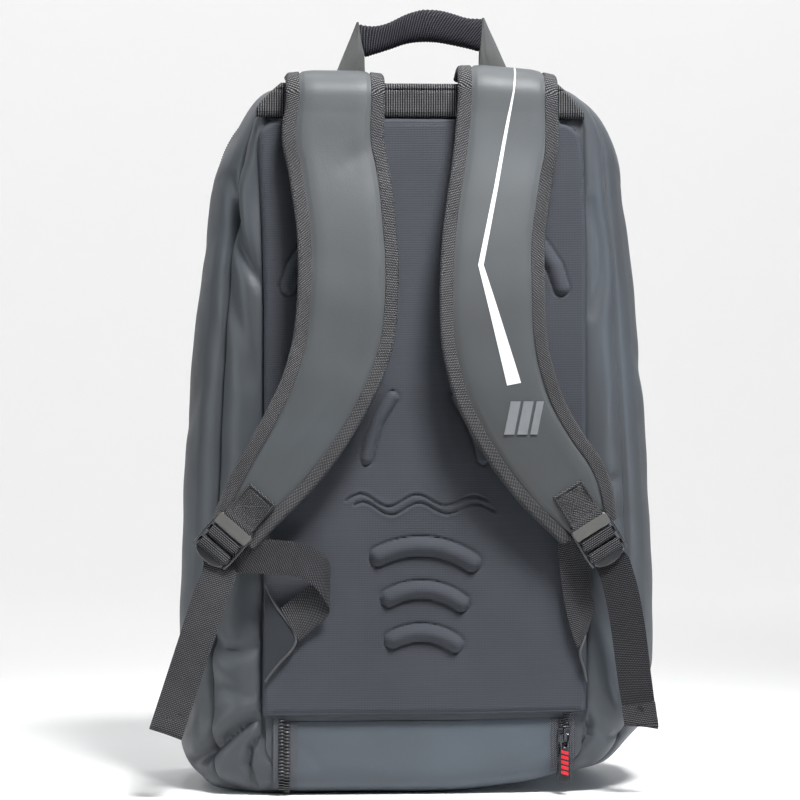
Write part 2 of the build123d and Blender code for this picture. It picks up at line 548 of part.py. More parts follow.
def threaded_web():
    """Webbing threaded up through the lock, over two bars and down behind the lip. Local as ladder_lock."""
    pts = [(33.0, -7.6), (14.6, -4.3), (12.6, -2.4), (12.5, 0.1), (14.0, 1.25), (19.3, 1.25), (20.9, 0.3), (21.8, -0.8), (22.8, -0.8), (23.6, 0.3), (25.0, 1.25), (29.4, 1.25), (30.5, 0.3), (30.6, -1.8), (33.2, -3.2)]
    t = 0.6
    left, right = [], []
    for i, (y, z) in enumerate(pts):
        a = pts[max(i - 1, 0)]
        b = pts[min(i + 1, len(pts) - 1)]
        d = math.hypot(b[0] - a[0], b[1] - a[1])
        ny, nz = -(b[1] - a[1]) / d, (b[0] - a[0]) / d
        left.append((y + ny * t, z + nz * t))
        right.append((y - ny * t, z - nz * t))
    st_f = [[(-WEB_W / 2, y, z), (WEB_W / 2, y, z)] for y, z in left]
    st_b = [[(-WEB_W / 2, y, z), (WEB_W / 2, y, z)] for y, z in right]
    return slab(st_f, st_b)


FULL_T = LINING_T + FOAM_T + FACE_T
BUCKLES = {
    "left": dict(st=strap_stations(LEFT_OUT, LEFT_IN), bar=(-137.4, 198.7), d=(-0.657, -0.754)),
    "right": dict(st=strap_stations(RIGHT_IN, RIGHT_OUT), bar=(115.9, 199.8), d=(0.533, -0.846)),
}
for name, b in BUCKLES.items():
    st = b["st"]
    save(ribbon(st, 0.0, LINING_T, inset=(BIND_W, -BIND_W)), f"strap_lining_{name}")
    save(ribbon(st, LINING_T, LINING_T + FOAM_T, inset=(BIND_W, -BIND_W)), f"strap_foam_{name}")
    save(ribbon(st, LINING_T + FOAM_T, FULL_T, inset=(BIND_W, -BIND_W)), f"strap_face_{name}")
    edges = [st, [(r, l, n) for l, r, n in st]]
    save(Compound([ribbon(e, -0.3, FULL_T + 0.3, inset=(0.0, BIND_W - 0.02)) for e in edges]), f"strap_binding_{name}")
    # Buckle frame: the loop bar lies BAR_UP above the strap's face at its lower end.
    last = st[-1]
    nrm = Vector(*last[2])
    bx, bz = b["bar"]
    dx, dz = b["d"]
    # y of the strap's face under the bar
    mid = (Vector(*last[0]) + Vector(*last[1])) * 0.5 + nrm * FULL_T
    fy = mid.Y + (-(nrm.X * (bx - mid.X) + nrm.Z * (bz - mid.Z))) / nrm.Y
    dy = -(nrm.X * dx + nrm.Z * dz) / nrm.Y
    d = Vector(dx, dy, dz).normalized()
    origin = Vector(bx, fy, bz) + nrm * BAR_UP
    xdir = d.cross(nrm)
    print(name, "buckle origin", tuple(round(v, 2) for v in origin), "d", tuple(round(v, 4) for v in d), "n", tuple(round(v, 4) for v in nrm), "x", tuple(round(v, 4) for v in xdir))
    save(oriented(ladder_lock(), origin, xdir, nrm), f"ladder_lock_{name}")
    save(oriented(strap_tab(), origin, xdir, nrm), f"strap_tab_{name}")
    save(oriented(threaded_web(), origin, xdir, nrm), f"threaded_webbing_{name}")

# Free webbing tails hanging from the locks.
save(web([
    ((-151.0, -123.0, 165.0), (0.95, 0, -0.31), (0, -1, 0)),
    ((-157.5, -123.5, 146.0), (0.95, 0, -0.31), (0, -1, 0)),
    ((-168.5, -122.5, 112.0), (0.95, 0, -0.31), (0, -1, 0)),
    ((-179.5, -120.0, 78.0), (0.94, 0.05, -0.33), (0, -1, 0)),
    ((-190.4, -116.5, 44.4), (0.93, 0.05, -0.36), (0, -1, 0)),
]), "webbing_tail_left")
save(web([
    ((138.4, -122.6, 162.0), (0.97, -0.1, 0.22), (0, -1, 0)),
    ((143.0, -123.0, 145.0), (0.97, -0.15, 0.17), (0, -1, 0)),
    ((147.5, -121.5, 122.0), (0.97, -0.15, 0.12), (0, -1, 0)),
    ((153.0, -117.5, 84.0), (0.98, -0.1, 0.0), (0, -1, 0)),
    ((158.8, -114.5, 47.0), (0.98, -0.05, -0.17), (0, -1, 0)),
]), "webbing_tail_right")
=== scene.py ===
import bpy
import math
import numpy as np
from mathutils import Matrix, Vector
from mathutils.bvhtree import BVHTree


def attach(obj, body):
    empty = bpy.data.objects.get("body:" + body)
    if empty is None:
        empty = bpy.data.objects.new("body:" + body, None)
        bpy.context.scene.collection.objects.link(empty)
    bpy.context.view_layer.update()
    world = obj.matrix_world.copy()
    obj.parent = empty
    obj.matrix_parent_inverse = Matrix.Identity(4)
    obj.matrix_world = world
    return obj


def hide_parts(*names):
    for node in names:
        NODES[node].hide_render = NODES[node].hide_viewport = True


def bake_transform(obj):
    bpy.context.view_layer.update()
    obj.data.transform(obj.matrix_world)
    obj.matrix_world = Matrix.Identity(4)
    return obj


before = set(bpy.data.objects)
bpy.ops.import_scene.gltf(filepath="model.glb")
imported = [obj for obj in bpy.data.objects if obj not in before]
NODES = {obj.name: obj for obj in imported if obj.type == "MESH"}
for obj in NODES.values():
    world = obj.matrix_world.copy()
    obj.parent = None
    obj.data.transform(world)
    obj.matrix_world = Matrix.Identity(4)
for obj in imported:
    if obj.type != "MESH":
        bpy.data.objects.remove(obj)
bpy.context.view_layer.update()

# All lengths below are millimetres above the harness datum, which lies 5 mm over the flat base.
DATUM = 5.0


def met(a):
    a = np.array(a, float)
    a[..., 2] += DATUM
    return a / 1000.0


def pt(x, y, z):
    return (x / 1000.0, y / 1000.0, (z + DATUM) / 1000.0)


# ---------------------------------------------------------------- camera
def make_camera():
    cam = bpy.data.cameras.new("Camera")
    cam.sensor_width = 36.0
    cam.lens = 134.7
    cam.clip_start = 0.05
    cam.clip_end = 60.0
    ob = bpy.data.objects.new("Camera", cam)
    bpy.context.scene.collection.objects.link(ob)
    a = math.radians(4.0)
    f = Vector((math.sin(a), math.cos(a), 0.0))
    target = Vector(pt(-18.7, -105.0, 287.0))
    ob.location = target - f * 2.2
    ob.rotation_euler = (math.radians(90), 0.0, -a)
    bpy.context.scene.camera = ob


make_camera()


# ---------------------------------------------------------------- numeric helpers
def spline(xs, ys, x):
    """Natural cubic spline through (xs, ys), read at x. ys may have several columns."""
    xs, ys, x = np.asarray(xs, float), np.asarray(ys, float), np.asarray(x, float)
    flat = ys.reshape(len(xs), -1)
    n = len(xs)
    h = np.diff(xs)
    a = np.zeros((n, n))
    b = np.zeros_like(flat)
    a[0, 0] = a[-1, -1] = 1.0
    for i in range(1, n - 1):
        a[i, i - 1], a[i, i], a[i, i + 1] = h[i - 1], 2 * (h[i - 1] + h[i]), h[i]
        b[i] = 6 * ((flat[i + 1] - flat[i]) / h[i] - (flat[i] - flat[i - 1]) / h[i - 1])
    m = np.linalg.solve(a, b)
    k = np.clip(np.searchsorted(xs, x) - 1, 0, n - 2)
    t = (x - xs[k])[..., None]
    hk = h[k][..., None]
    r = (m[k] * (hk - t) ** 3 / (6 * hk) + m[k + 1] * t ** 3 / (6 * hk)
         + (flat[k] / hk - m[k] * hk / 6) * (hk - t) + (flat[k + 1] / hk - m[k + 1] * hk / 6) * t)
    return r.reshape(x.shape + ys.shape[1:])


def mono(xs, ys, x):
    """Monotone cubic through (xs, ys), read at x (any shape)."""
    xs, ys, x = np.asarray(xs, float), np.asarray(ys, float), np.asarray(x, float)
    h, d = np.diff(xs), np.diff(ys) / np.diff(xs)
    s = np.zeros(len(xs))
    s[0], s[-1] = d[0], d[-1]
    for i in range(1, len(xs) - 1):
        if d[i - 1] * d[i] > 0:
            w1, w2 = 2 * h[i] + h[i - 1], h[i] + 2 * h[i - 1]
            s[i] = (w1 + w2) / (w1 / d[i - 1] + w2 / d[i])
    k = np.clip(np.searchsorted(xs, x) - 1, 0, len(xs) - 2)
    t = (x - xs[k]) / h[k]
    return ((1 + 2 * t) * (1 - t) ** 2 * ys[k] + t * (1 - t) ** 2 * h[k] * s[k]
            + t * t * (3 - 2 * t) * ys[k + 1] + t * t * (t - 1) * h[k] * s[k + 1])


def path(points, step):
    """Evenly spaced points on a smooth line through points, about step apart."""
    p = np.array(points, float)
    c = np.r_[0, np.cumsum(np.linalg.norm(np.diff(p, axis=0), axis=1))]
    fine = spline(c, p, np.linspace(0, c[-1], 40 * len(p)))
    c2 = np.r_[0, np.cumsum(np.linalg.norm(np.diff(fine, axis=0), axis=1))]
    n = max(int(round(c2[-1] / step)), 4) + 1
    s = np.linspace(0, c2[-1], n)
    return np.stack([np.interp(s, c2, fine[:, k]) for k in range(p.shape[1])], 1), s


def unit(a):
    return a / np.maximum(np.linalg.norm(a, axis=-1, keepdims=True), 1e-12)


def smooth(x, a, b):
    t = np.clip((np.asarray(x, float) - a) / (b - a), 0, 1)
    return t * t * (3 - 2 * t)


def seg_dist(x, z, line):
    """Distance in the plane from points to a polyline, and how far along it the nearest point is."""
    best = np.full(np.shape(x), 1e9)
    along = np.zeros(np.shape(x))
    side = np.zeros(np.shape(x))
    run = 0.0
    for (ax, az), (bx, bz) in zip(line, line[1:]):
        dx, dz = bx - ax, bz - az
        l2 = dx * dx + dz * dz
        t = np.clip(((x - ax) * dx + (z - az) * dz) / l2, 0, 1)
        ex, ez = x - ax - t * dx, z - az - t * dz
        d = np.hypot(ex, ez)
        m = d < best
        best = np.where(m, d, best)
        along = np.where(m, run + t * math.sqrt(l2), along)
        side = np.where(m, np.sign(dx * ez - dz * ex), side)
        run += math.sqrt(l2)
    return best, along, side, run


# ---------------------------------------------------------------- mesh builders
def make(name, verts, faces, mats, fmat=None, uv=None, sharp=None):
    me = bpy.data.meshes.new(name)
    v = met(np.asarray(verts, float).reshape(-1, 3))
    me.from_pydata(v.tolist(), [], [tuple(int(i) for i in f) for f in faces])
    for m in mats:
        me.materials.append(m)
    if fmat is not None:
        me.polygons.foreach_set("material_index", np.asarray(fmat, np.int32))
    if uv is not None:
        layer = me.uv_layers.new(name="UVMap")
        idx = np.zeros(len(me.loops), np.int32)
        me.loops.foreach_get("vertex_index", idx)
        layer.data.foreach_set("uv", (np.asarray(uv, float).reshape(-1, 2)[idx]).astype(np.float32).ravel())
    me.polygons.foreach_set("use_smooth", np.ones(len(me.polygons), bool))
    if sharp:
        me.set_sharp_from_angle(angle=math.radians(sharp))
    me.update()
    ob = bpy.data.objects.new(name, me)
    bpy.context.scene.collection.objects.link(ob)
    return ob


def grid_faces(n, m, o=0, flip=False, close=False):
    i, j = np.meshgrid(np.arange(n - 1), np.arange(m if close else m - 1), indexing="ij")
    j2 = (j + 1) % m
    a, b, c, d = i * m + j + o, i * m + j2 + o, (i + 1) * m + j2 + o, (i + 1) * m + j + o
    f = np.stack([a, d, c, b] if flip else [a, b, c, d], -1).reshape(-1, 4)
    return f


def closed(name, front, back, mats, uv=None, sharp=50, flip=False):
    """A closed piece between two grids: faces of front take mats[0], of back mats[-1]."""
    n, m = front.shape[:2]
    o = n * m
    ff = grid_faces(n, m, 0, flip)
    fb = grid_faces(n, m, o, not flip)
    rim = []
    ring = [(0, j) for j in range(m)] + [(i, m - 1) for i in range(1, n)] + [(n - 1, j) for j in range(m - 2, -1, -1)] + [(i, 0) for i in range(n - 2, 0, -1)]
    for (a, b), (c, d) in zip(ring, ring[1:] + ring[:1]):
        p, q = a * m + b, c * m + d
        rim.append((q, p, p + o, q + o) if not flip else (p, q, q + o, p + o))
    faces = np.concatenate([ff, fb, np.array(rim)])
    fm = np.r_[np.zeros(len(ff)), np.full(len(fb), len(mats) - 1), np.zeros(len(rim))]
    verts = np.concatenate([front.reshape(-1, 3), back.reshape(-1, 3)])
    if uv is None:
        uv = grid_uv(front)
    return make(name, verts, faces, mats, fm, np.concatenate([uv.reshape(-1, 2)] * 2), sharp)


def grid_uv(p):
    """Distances over the surface, in metres, as UV."""
    du = np.linalg.norm(np.diff(p, axis=1), axis=2).mean(0)
    dv = np.linalg.norm(np.diff(p, axis=0), axis=2).mean(1)
    u, v = np.r_[0, np.cumsum(du)] / 1000, np.r_[0, np.cumsum(dv)] / 1000
    return np.stack(np.meshgrid(u, v), -1)


def tube(name, rings, mats, uv=None, sharp=60, caps=True, fmat_cols=None):
    """A closed tube from rings of points; rings[i] is a closed loop."""
    n, m = rings.shape[:2]
    f = [tuple(x) for x in grid_faces(n, m, 0, close=True)]
    fm = [0] * len(f)
    if fmat_cols is not None:
        fm = [int(fmat_cols[k % m]) for k in range(len(f))]
    verts = rings.reshape(-1, 3)
    if uv is None:
        per = np.r_[0, np.cumsum(np.linalg.norm(np.diff(rings[n // 2], axis=0), axis=1))] / 1000
        c = rings.mean(1)
        al = np.r_[0, np.cumsum(np.linalg.norm(np.diff(c, axis=0), axis=1))] / 1000
        uv = np.stack(np.meshgrid(per, al), -1)
    uv = uv.reshape(-1, 2)
    if caps:
        c0, c1 = rings[0].mean(0), rings[-1].mean(0)
        verts = np.concatenate([verts, [c0, c1]])
        uv = np.concatenate([uv, [uv[0], uv[-1]]])
        k0, k1 = n * m, n * m + 1
        for j in range(m):
            j2 = (j + 1) % m
            f.append((k0, j2, j))
            f.append((k1, (n - 1) * m + j, (n - 1) * m + j2))
            fm += [0, 0]
    return make(name, verts, f, mats, fm, uv, sharp)


def fix_normals(ob):
    import bmesh
    bm = bmesh.new()
    bm.from_mesh(ob.data)
    bmesh.ops.recalc_face_normals(bm, faces=bm.faces)
    bm.to_mesh(ob.data)
    bm.free()
    return ob


def join(name, obs):
    bpy.ops.object.select_all(action="DESELECT")
    for o in obs:
        o.select_set(True)
    bpy.context.view_layer.objects.active = obs[0]
    bpy.ops.object.join()
    obs[0].name = name
    obs[0].data.name = name
    return obs[0]


def bevel_box(size, centre, bevel=0.6, seg=3, bend=0.0):
    """Vertices and faces of a box with rounded edges, in local millimetres."""
    import bmesh
    bm = bmesh.new()
    bmesh.ops.create_cube(bm, size=1.0)
    for v in bm.verts:
        v.co = Vector((v.co.x * size[0], v.co.y * size[1], v.co.z * size[2]))
    if bend:
        bmesh.ops.subdivide_edges(bm, edges=[e for e in bm.edges if abs((e.verts[0].co - e.verts[1].co).x) > size[0] * 0.5], cuts=9, use_grid_fill=True)
        for v in bm.verts:
            v.co.z += bend * (1 - (2 * v.co.x / size[0]) ** 2)
    if bevel:
        sharp = [e for e in bm.edges if e.calc_face_angle(0) > 0.8]
        bmesh.ops.bevel(bm, geom=sharp, offset=bevel, segments=seg, profile=0.5, affect="EDGES", clamp_overlap=True)
    vs = np.array([v.co for v in bm.verts]) + np.array(centre)
    bm.verts.index_update()
    fs = [tuple(v.index for v in f.verts) for f in bm.faces]
    bm.free()
    return vs, fs


def merge(parts):
    """Several (verts, faces) as one."""
    v, f, o = [], [], 0
    for a, b in parts:
        v.append(a)
        f += [tuple(i + o for i in q) for q in b]
        o += len(a)
    return np.concatenate(v), f


def place(local, origin, ex, ey, ez):
    local = np.asarray(local, float)
    return np.asarray(origin, float) + local[..., :1] * ex + local[..., 1:2] * ey + local[..., 2:3] * ez


# ---------------------------------------------------------------- materials
def material(name, color, rough=0.6, spec=0.4, sheen=0.0, metallic=0.0, coat=0.0):
    m = bpy.data.materials.new(name)
    m.use_nodes = True
    nt = m.node_tree
    b = nt.nodes["Principled BSDF"]
    b.inputs["Base Color"].default_value = (*color, 1)
    b.inputs["Roughness"].default_value = rough
    b.inputs["Specular IOR Level"].default_value = spec
    b.inputs["Metallic"].default_value = metallic
    b.inputs["Sheen Weight"].default_value = sheen
    b.inputs["Sheen Roughness"].default_value = 0.45
    b.inputs["Coat Weight"].default_value = coat
    b.inputs["Coat Roughness"].default_value = 0.2
    return m, nt, b


class Net:
    """Short names for making shader nodes."""

    def __init__(self, nt):
        self.nt = nt
        self.n = nt.nodes
        self.l = nt.links

    def put(self, v, sock):
        if isinstance(v, (int, float)):
            sock.default_value = v
        elif isinstance(v, tuple):
            sock.default_value = v
        else:
            self.l.new(v, sock)

    def math(self, op, a, b=0.0, c=0.0):
        k = self.n.new("ShaderNodeMath")
        k.operation = op
        self.put(a, k.inputs[0])
        self.put(b, k.inputs[1])
        self.put(c, k.inputs[2])
        return k.outputs[0]

    def uv(self):
        k = self.n.new("ShaderNodeUVMap")
        k.uv_map = "UVMap"
        s = self.n.new("ShaderNodeSeparateXYZ")
        self.l.new(k.outputs[0], s.inputs[0])
        return s.outputs[0], s.outputs[1]

    def obj(self):
        return self.n.new("ShaderNodeTexCoord").outputs["Object"]

    def noise(self, vec, scale, detail=2.0, rough=0.5, dist=0.0):
        k = self.n.new("ShaderNodeTexNoise")
        self.l.new(vec, k.inputs["Vector"])
        k.inputs["Scale"].default_value = scale
        k.inputs["Detail"].default_value = detail
        k.inputs["Roughness"].default_value = rough
        k.inputs["Distortion"].default_value = dist
        return k.outputs[0]

    def voronoi(self, vec, scale):
        k = self.n.new("ShaderNodeTexVoronoi")
        self.l.new(vec, k.inputs["Vector"])
        k.inputs["Scale"].default_value = scale
        return k.outputs["Distance"]

    def ramp(self, v, stops):
        k = self.n.new("ShaderNodeValToRGB")
        self.l.new(v, k.inputs[0])
        e = k.color_ramp.elements
        while len(e) < len(stops):
            e.new(0.5)
        for q, (p, c) in zip(e, stops):
            q.position = p
            q.color = (*c, 1) if len(c) == 3 else c
        return k.outputs[0]

    def mix(self, f, a, b):
        k = self.n.new("ShaderNodeMix")
        k.data_type = "RGBA"
        self.put(f, k.inputs[0])
        self.put(a, k.inputs[6])
        self.put(b, k.inputs[7])
        return k.outputs[2]

    def bump(self, h, strength, distance, normal=None):
        k = self.n.new("ShaderNodeBump")
        k.inputs["Strength"].default_value = strength
        k.inputs["Distance"].default_value = distance
        self.l.new(h, k.inputs["Height"])
        if normal is not None:
            self.l.new(normal, k.inputs["Normal"])
        return k.outputs[0]


def scale3(c, k):
    return tuple(min(1.0, x * k) for x in c)


def coated(name, color, rough=0.52, grain=0.6, tint=(0.94, 1.0, 1.06), spec=0.3):
    """Soft-touch coated cloth: fine leather-like grain, faint mottling, scattered lighter specks."""
    m, nt, b = material(name, color, rough, spec, 0.0)
    k = Net(nt)
    o = k.obj()
    big = k.noise(o, 7.0, 3.0, 0.55)
    mid = k.noise(o, 60.0, 3.0, 0.6)
    fine = k.voronoi(o, 1500.0)
    fine2 = k.noise(o, 2600.0, 2.0, 0.6)
    lo, hi = scale3(color, 0.86), tuple(min(1, c * 1.14 * t) for c, t in zip(color, tint))
    col = k.mix(k.ramp(big, [(0.3, (0, 0, 0)), (0.7, (1, 1, 1))]), (*lo, 1), (*hi, 1))
    speck = k.ramp(k.noise(o, 420.0, 2.0, 0.7), [(0.66, (0, 0, 0)), (0.8, (0.22, 0.22, 0.22))])
    col = k.mix(speck, col, (*scale3(color, 1.7), 1))
    k.l.new(col, b.inputs["Base Color"])
    r = k.math("MULTIPLY_ADD", mid, 0.14, rough - 0.07)
    k.l.new(r, b.inputs["Roughness"])
    h = k.math("ADD", k.math("MULTIPLY", fine, 0.7), k.math("MULTIPLY", fine2, 0.5))
    n1 = k.bump(mid, 0.10, 0.0012)
    k.l.new(k.bump(h, grain, 0.00012, n1), b.inputs["Normal"])
    return m


def knit(name, color, pu=1.0, pv=1.2, rough=0.85, depth=0.00022, contrast=0.35, sheen=0.25):
    """Fine jersey: interlocking courses from UV in metres."""
    m, nt, b = material(name, color, rough, 0.12, sheen)
    k = Net(nt)
    u, v = k.uv()
    cu = k.math("MULTIPLY", u, 2 * math.pi * 1000 / pu)
    cv = k.math("MULTIPLY", v, 2 * math.pi * 1000 / pv)
    zig = k.math("MULTIPLY", k.math("SINE", cu), 0.9)
    w = k.math("SINE", k.math("ADD", cv, zig))
    col1 = k.math("ABSOLUTE", k.math("SINE", k.math("MULTIPLY", cu, 0.5)))
    h = k.math("MULTIPLY", k.math("MULTIPLY_ADD", w, 0.5, 0.5), k.math("POWER", col1, 0.5))
    o = k.obj()
    big = k.noise(o, 9.0, 3.0, 0.6)
    fuzz = k.noise(o, 1800.0, 2.0, 0.7)
    hh = k.math("MULTIPLY_ADD", fuzz, 0.35, h)
    c = k.mix(k.math("MULTIPLY", hh, contrast), (*scale3(color, 0.7), 1), (*scale3(color, 1.9), 1))
    c = k.mix(k.ramp(big, [(0.35, (0, 0, 0)), (0.65, (0.35, 0.35, 0.35))]), c, (*scale3(color, 1.35), 1))
    k.l.new(c, b.inputs["Base Color"])
    k.l.new(k.bump(hh, 0.8, depth), b.inputs["Normal"])
    return m


def ribbed(name, dark, light, pitch=2.1, slant=0.0, zig=0.16, zpitch=3.6, warp=0.9, along="v", rough=0.7, depth=0.0004, sharpness=1.2, brick=True):
    """Woven ribs from UV in metres: ribs lie across the named direction."""
    m, nt, b = material(name, dark, rough, 0.12, 0.0)
    k = Net(nt)
    u, v = k.uv()
    if along == "u":
        u, v = v, u
    zigv = k.math("MULTIPLY", k.math("SINE", k.math("MULTIPLY", u, 2 * math.pi * 1000 / zpitch)), zig)
    ph = k.math("ADD", k.math("ADD", k.math("MULTIPLY", v, 1000 / pitch), zigv), k.math("MULTIPLY", u, slant * 1000))
    rib = k.math("MULTIPLY_ADD", k.math("COSINE", k.math("MULTIPLY", ph, 2 * math.pi)), 0.5, 0.5)
    rib = k.math("POWER", rib, sharpness)
    row = k.math("MULTIPLY", k.math("FLOOR", k.math("ADD", ph, 0.5)), math.pi if brick else 0.0)
    thr = k.math("MULTIPLY_ADD", k.math("COSINE", k.math("ADD", k.math("MULTIPLY", u, 2 * math.pi * 1000 / warp), row)), 0.5, 0.5)
    o = k.obj()
    fuzz = k.noise(o, 1500.0, 2.0, 0.7)
    big = k.noise(o, 25.0, 2.0, 0.6)
    h = k.math("MULTIPLY_ADD", thr, 0.25, k.math("MULTIPLY_ADD", fuzz, 0.25, rib))
    f = k.math("MULTIPLY", k.math("MULTIPLY_ADD", thr, 0.62, 0.38), rib)
    f = k.math("MULTIPLY", f, k.math("MULTIPLY_ADD", big, 0.7, 0.65))
    f = k.math("MULTIPLY", f, k.math("MULTIPLY_ADD", fuzz, 1.2, 0.4))
    k.l.new(k.mix(f, (*dark, 1), (*light, 1)), b.inputs["Base Color"])
    k.l.new(k.bump(h, 0.9, depth), b.inputs["Normal"])
    return m


def plastic(name, color, rough=0.35, grain=0.25, spec=0.5, coat=0.0):
    m, nt, b = material(name, color, rough, spec, 0.0, 0.0, coat)
    k = Net(nt)
    o = k.obj()
    big = k.noise(o, 90.0, 3.0, 0.6)
    fine = k.noise(o, 3200.0, 2.0, 0.7)
    k.l.new(k.mix(k.math("MULTIPLY", big, 0.8), (*scale3(color, 0.85), 1), (*scale3(color, 1.2), 1)), b.inputs["Base Color"])
    k.l.new(k.math("MULTIPLY_ADD", big, 0.16, rough - 0.08), b.inputs["Roughness"])
    k.l.new(k.bump(fine, grain, 0.00005), b.inputs["Normal"])
    return m


M = {}
M["shell"] = coated("shell_fabric", (0.062, 0.066, 0.072), 0.48, 0.5, spec=0.34)
M["strap"] = coated("strap_fabric", (0.074, 0.0768, 0.0785), 0.5, 0.5, spec=0.3)
# lighter, bluer copy of the shell cloth: painted light on the low shoe flap
M["door"] = coated("door_fabric", (0.076, 0.086, 0.098), 0.48, 0.5, spec=0.34)
M["lining"] = ribbed("inner_lining", (0.10, 0.105, 0.12), (0.17, 0.175, 0.19), 0.9, zig=0.0, warp=0.9, depth=0.00008, rough=0.6, brick=False)
M["mesh"] = knit("lining_mesh", (0.022, 0.022, 0.025), 2.4, 2.4, 0.85, 0.0005, 0.8)
M["pad"] = knit("pad_knit", (0.053, 0.057, 0.067), 1.15, 1.3, rough=0.8, depth=0.0003, contrast=0.45, sheen=0.0)
M["web"] = ribbed("webbing", (0.004, 0.004, 0.005), (0.165, 0.165, 0.176), 1.35, zig=0.0, warp=1.9, depth=0.0007)
# darker copy of the webbing: painted shade, used on the right-hand tail
M["web_painted_shade"] = ribbed("webbing_painted_shade", (0.003, 0.003, 0.004), (0.085, 0.085, 0.093), 1.35, zig=0.0, warp=1.9, depth=0.0007)
M["bind"] = ribbed("binding", (0.004, 0.004, 0.005), (0.21, 0.21, 0.218), 1.25, slant=0.25, zig=0.0, warp=1.7, depth=0.0007)
M["band"] = ribbed("band_fabric", (0.003, 0.003, 0.004), (0.20, 0.20, 0.206), 1.75, zig=0.0, warp=1.2, along="u", depth=0.0006, brick=False)
M["grip"] = ribbed("grip_fabric", (0.003, 0.003, 0.004), (0.070, 0.070, 0.086), 2.0, slant=0.30, zig=0.0, warp=1.1, along="v", depth=0.0006, brick=False)
M["leg"] = ribbed("handle_webbing", (0.075, 0.078, 0.078), (0.135, 0.138, 0.138), 0.8, slant=0.5, zig=0.0, warp=0.7, depth=0.0001, brick=False)
M["tape"] = ribbed("zip_tape", (0.012, 0.013, 0.016), (0.24, 0.25, 0.28), 1.9, slant=0.5, zig=0.0, warp=1.2, depth=0.0003, brick=False)
M["teeth"] = plastic("zip_teeth", (0.012, 0.012, 0.014), 0.18, 0.1, 0.7, 0.4)
M["metal"] = plastic("zip_metal", (0.012, 0.013, 0.018), 0.2, 0.1, 0.7, 0.3)
M["wire"] = material("zip_wire", (0.10, 0.10, 0.11), 0.22, 0.5, 0.0, 1.0)[0]
M["pull"] = plastic("zip_pull", (0.010, 0.010, 0.012), 0.4, 0.15)
M["red"] = plastic("zip_pull_red", (0.62, 0.012, 0.025), 0.38, 0.15)
M["buckle"] = plastic("buckle", (0.022, 0.022, 0.024), 0.22, 0.2, 0.7, 0.4)
# lighter copy of the buckle plastic: a painted reflection on the lock's top plate
M["buckle_plate_painted_reflection"] = plastic("buckle_plate_painted_reflection", (0.115, 0.114, 0.108), 0.38, 0.5, 0.5)
M["patch"] = ribbed("tab_fabric", (0.004, 0.004, 0.005), (0.17, 0.17, 0.175), 1.2, slant=0.3, zig=0.0, warp=1.6, depth=0.0005)
M["stripe"] = plastic("reflective_stripe", (0.78, 0.79, 0.79), 0.45, 0.5)
M["badge"] = plastic("badge", (0.20, 0.21, 0.22), 0.3, 0.1, 0.6, 0.2)
M["thread"] = plastic("thread", (0.060, 0.061, 0.064), 0.6, 0.5)
M["fold"] = coated("fold_edge", (0.030, 0.032, 0.036), 0.55, 0.5, spec=0.2)

for n, key in {
    "frame_sheet": "pull", "compartment_floor": "lining", "rear_panel": "shell", "top_panel": "shell", "base_panel": "shell",
    "shoe_zip_tape_body": "tape", "shoe_zip_tape_flap": "tape", "main_zip_tape_body": "tape", "main_zip_tape_flap": "tape",
    "pocket_zip_tape": "tape", "shoe_zip_teeth_body": "teeth", "shoe_zip_teeth_flap": "teeth", "main_zip_teeth_body": "teeth",
    "main_zip_teeth_flap": "teeth", "pocket_zip_teeth": "teeth",
}.items():
    me = NODES[n].data
    me.materials.clear()
    me.materials.append(M[key])


def slump(ob):
    """The shell's foot sags upwards towards its right-hand corner."""
    me = ob.data
    co = np.empty(len(me.vertices) * 3)
    me.vertices.foreach_get("co", co)
    co = co.reshape(-1, 3)
    q = co * 1000 - [0, 0, DATUM]
    lift = np.interp(q[:, 0], [20, 42, 80, 98, 110, 130, 150, 165], [0, 1.6, 6.5, 11.0, 13.5, 17, 19, 21])
    k = (1 - smooth(q[:, 2], 0, 70)) * (1 - 0.5 * smooth(q[:, 1], -40, 90))
    co[:, 2] += lift * k / 1000
    me.vertices.foreach_set("co", co.ravel())
    me.update()


def finish_piece(ob, body=None, replaces=(), blend=None):
    if body in ("bag", "shoe_flap", "main_flap"):
        slump(ob)
    if blend:
        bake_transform(ob)
    else:
        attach(ob, body)
    if replaces:
        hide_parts(*replaces)
    return ob


# ---------------------------------------------------------------- the soft shell
STATIONS = np.array([
    (-95.0, 16.0, 512.0, 121.0, 119.0, 15.0, 16.0, 26.0, 0.0),
    (-90.0, 4.0, 516.0, 134.0, 125.0, 24.0, 24.0, 36.0, 2.0),
    (-80.0, -3.0, 519.0, 150.0, 132.0, 34.0, 34.0, 48.0, 4.0),
    (-58.0, -5.0, 521.0, 170.0, 146.0, 42.0, 42.0, 62.0, 7.0),
    (-20.0, -5.0, 523.0, 178.0, 154.0, 46.0, 46.0, 74.0, 8.0),
    (20.0, -5.0, 522.0, 178.0, 153.0, 46.0, 46.0, 74.0, 8.0),
    (34.0, -5.0, 521.0, 177.0, 152.0, 46.0, 46.0, 74.0, 8.0),
    (45.0, -5.0, 519.0, 175.0, 150.0, 46.0, 46.0, 74.0, 8.0),
    (56.0, -5.0, 516.0, 172.0, 147.0, 45.0, 45.0, 73.0, 8.0),
    (76.0, -4.0, 506.0, 163.0, 138.0, 42.0, 42.0, 70.0, 7.0),
    (92.0, 1.0, 490.0, 150.0, 126.0, 36.0, 38.0, 62.0, 5.0),
    (102.0, 11.0, 470.0, 134.0, 112.0, 26.0, 32.0, 50.0, 3.0),
    (106.0, 25.0, 450.0, 120.0, 101.0, 14.0, 26.0, 38.0, 1.0),
])
X_TOP = 92.0


def params(y):
    return [mono(STATIONS[:, 0], STATIONS[:, k], y) for k in range(1, 9)]


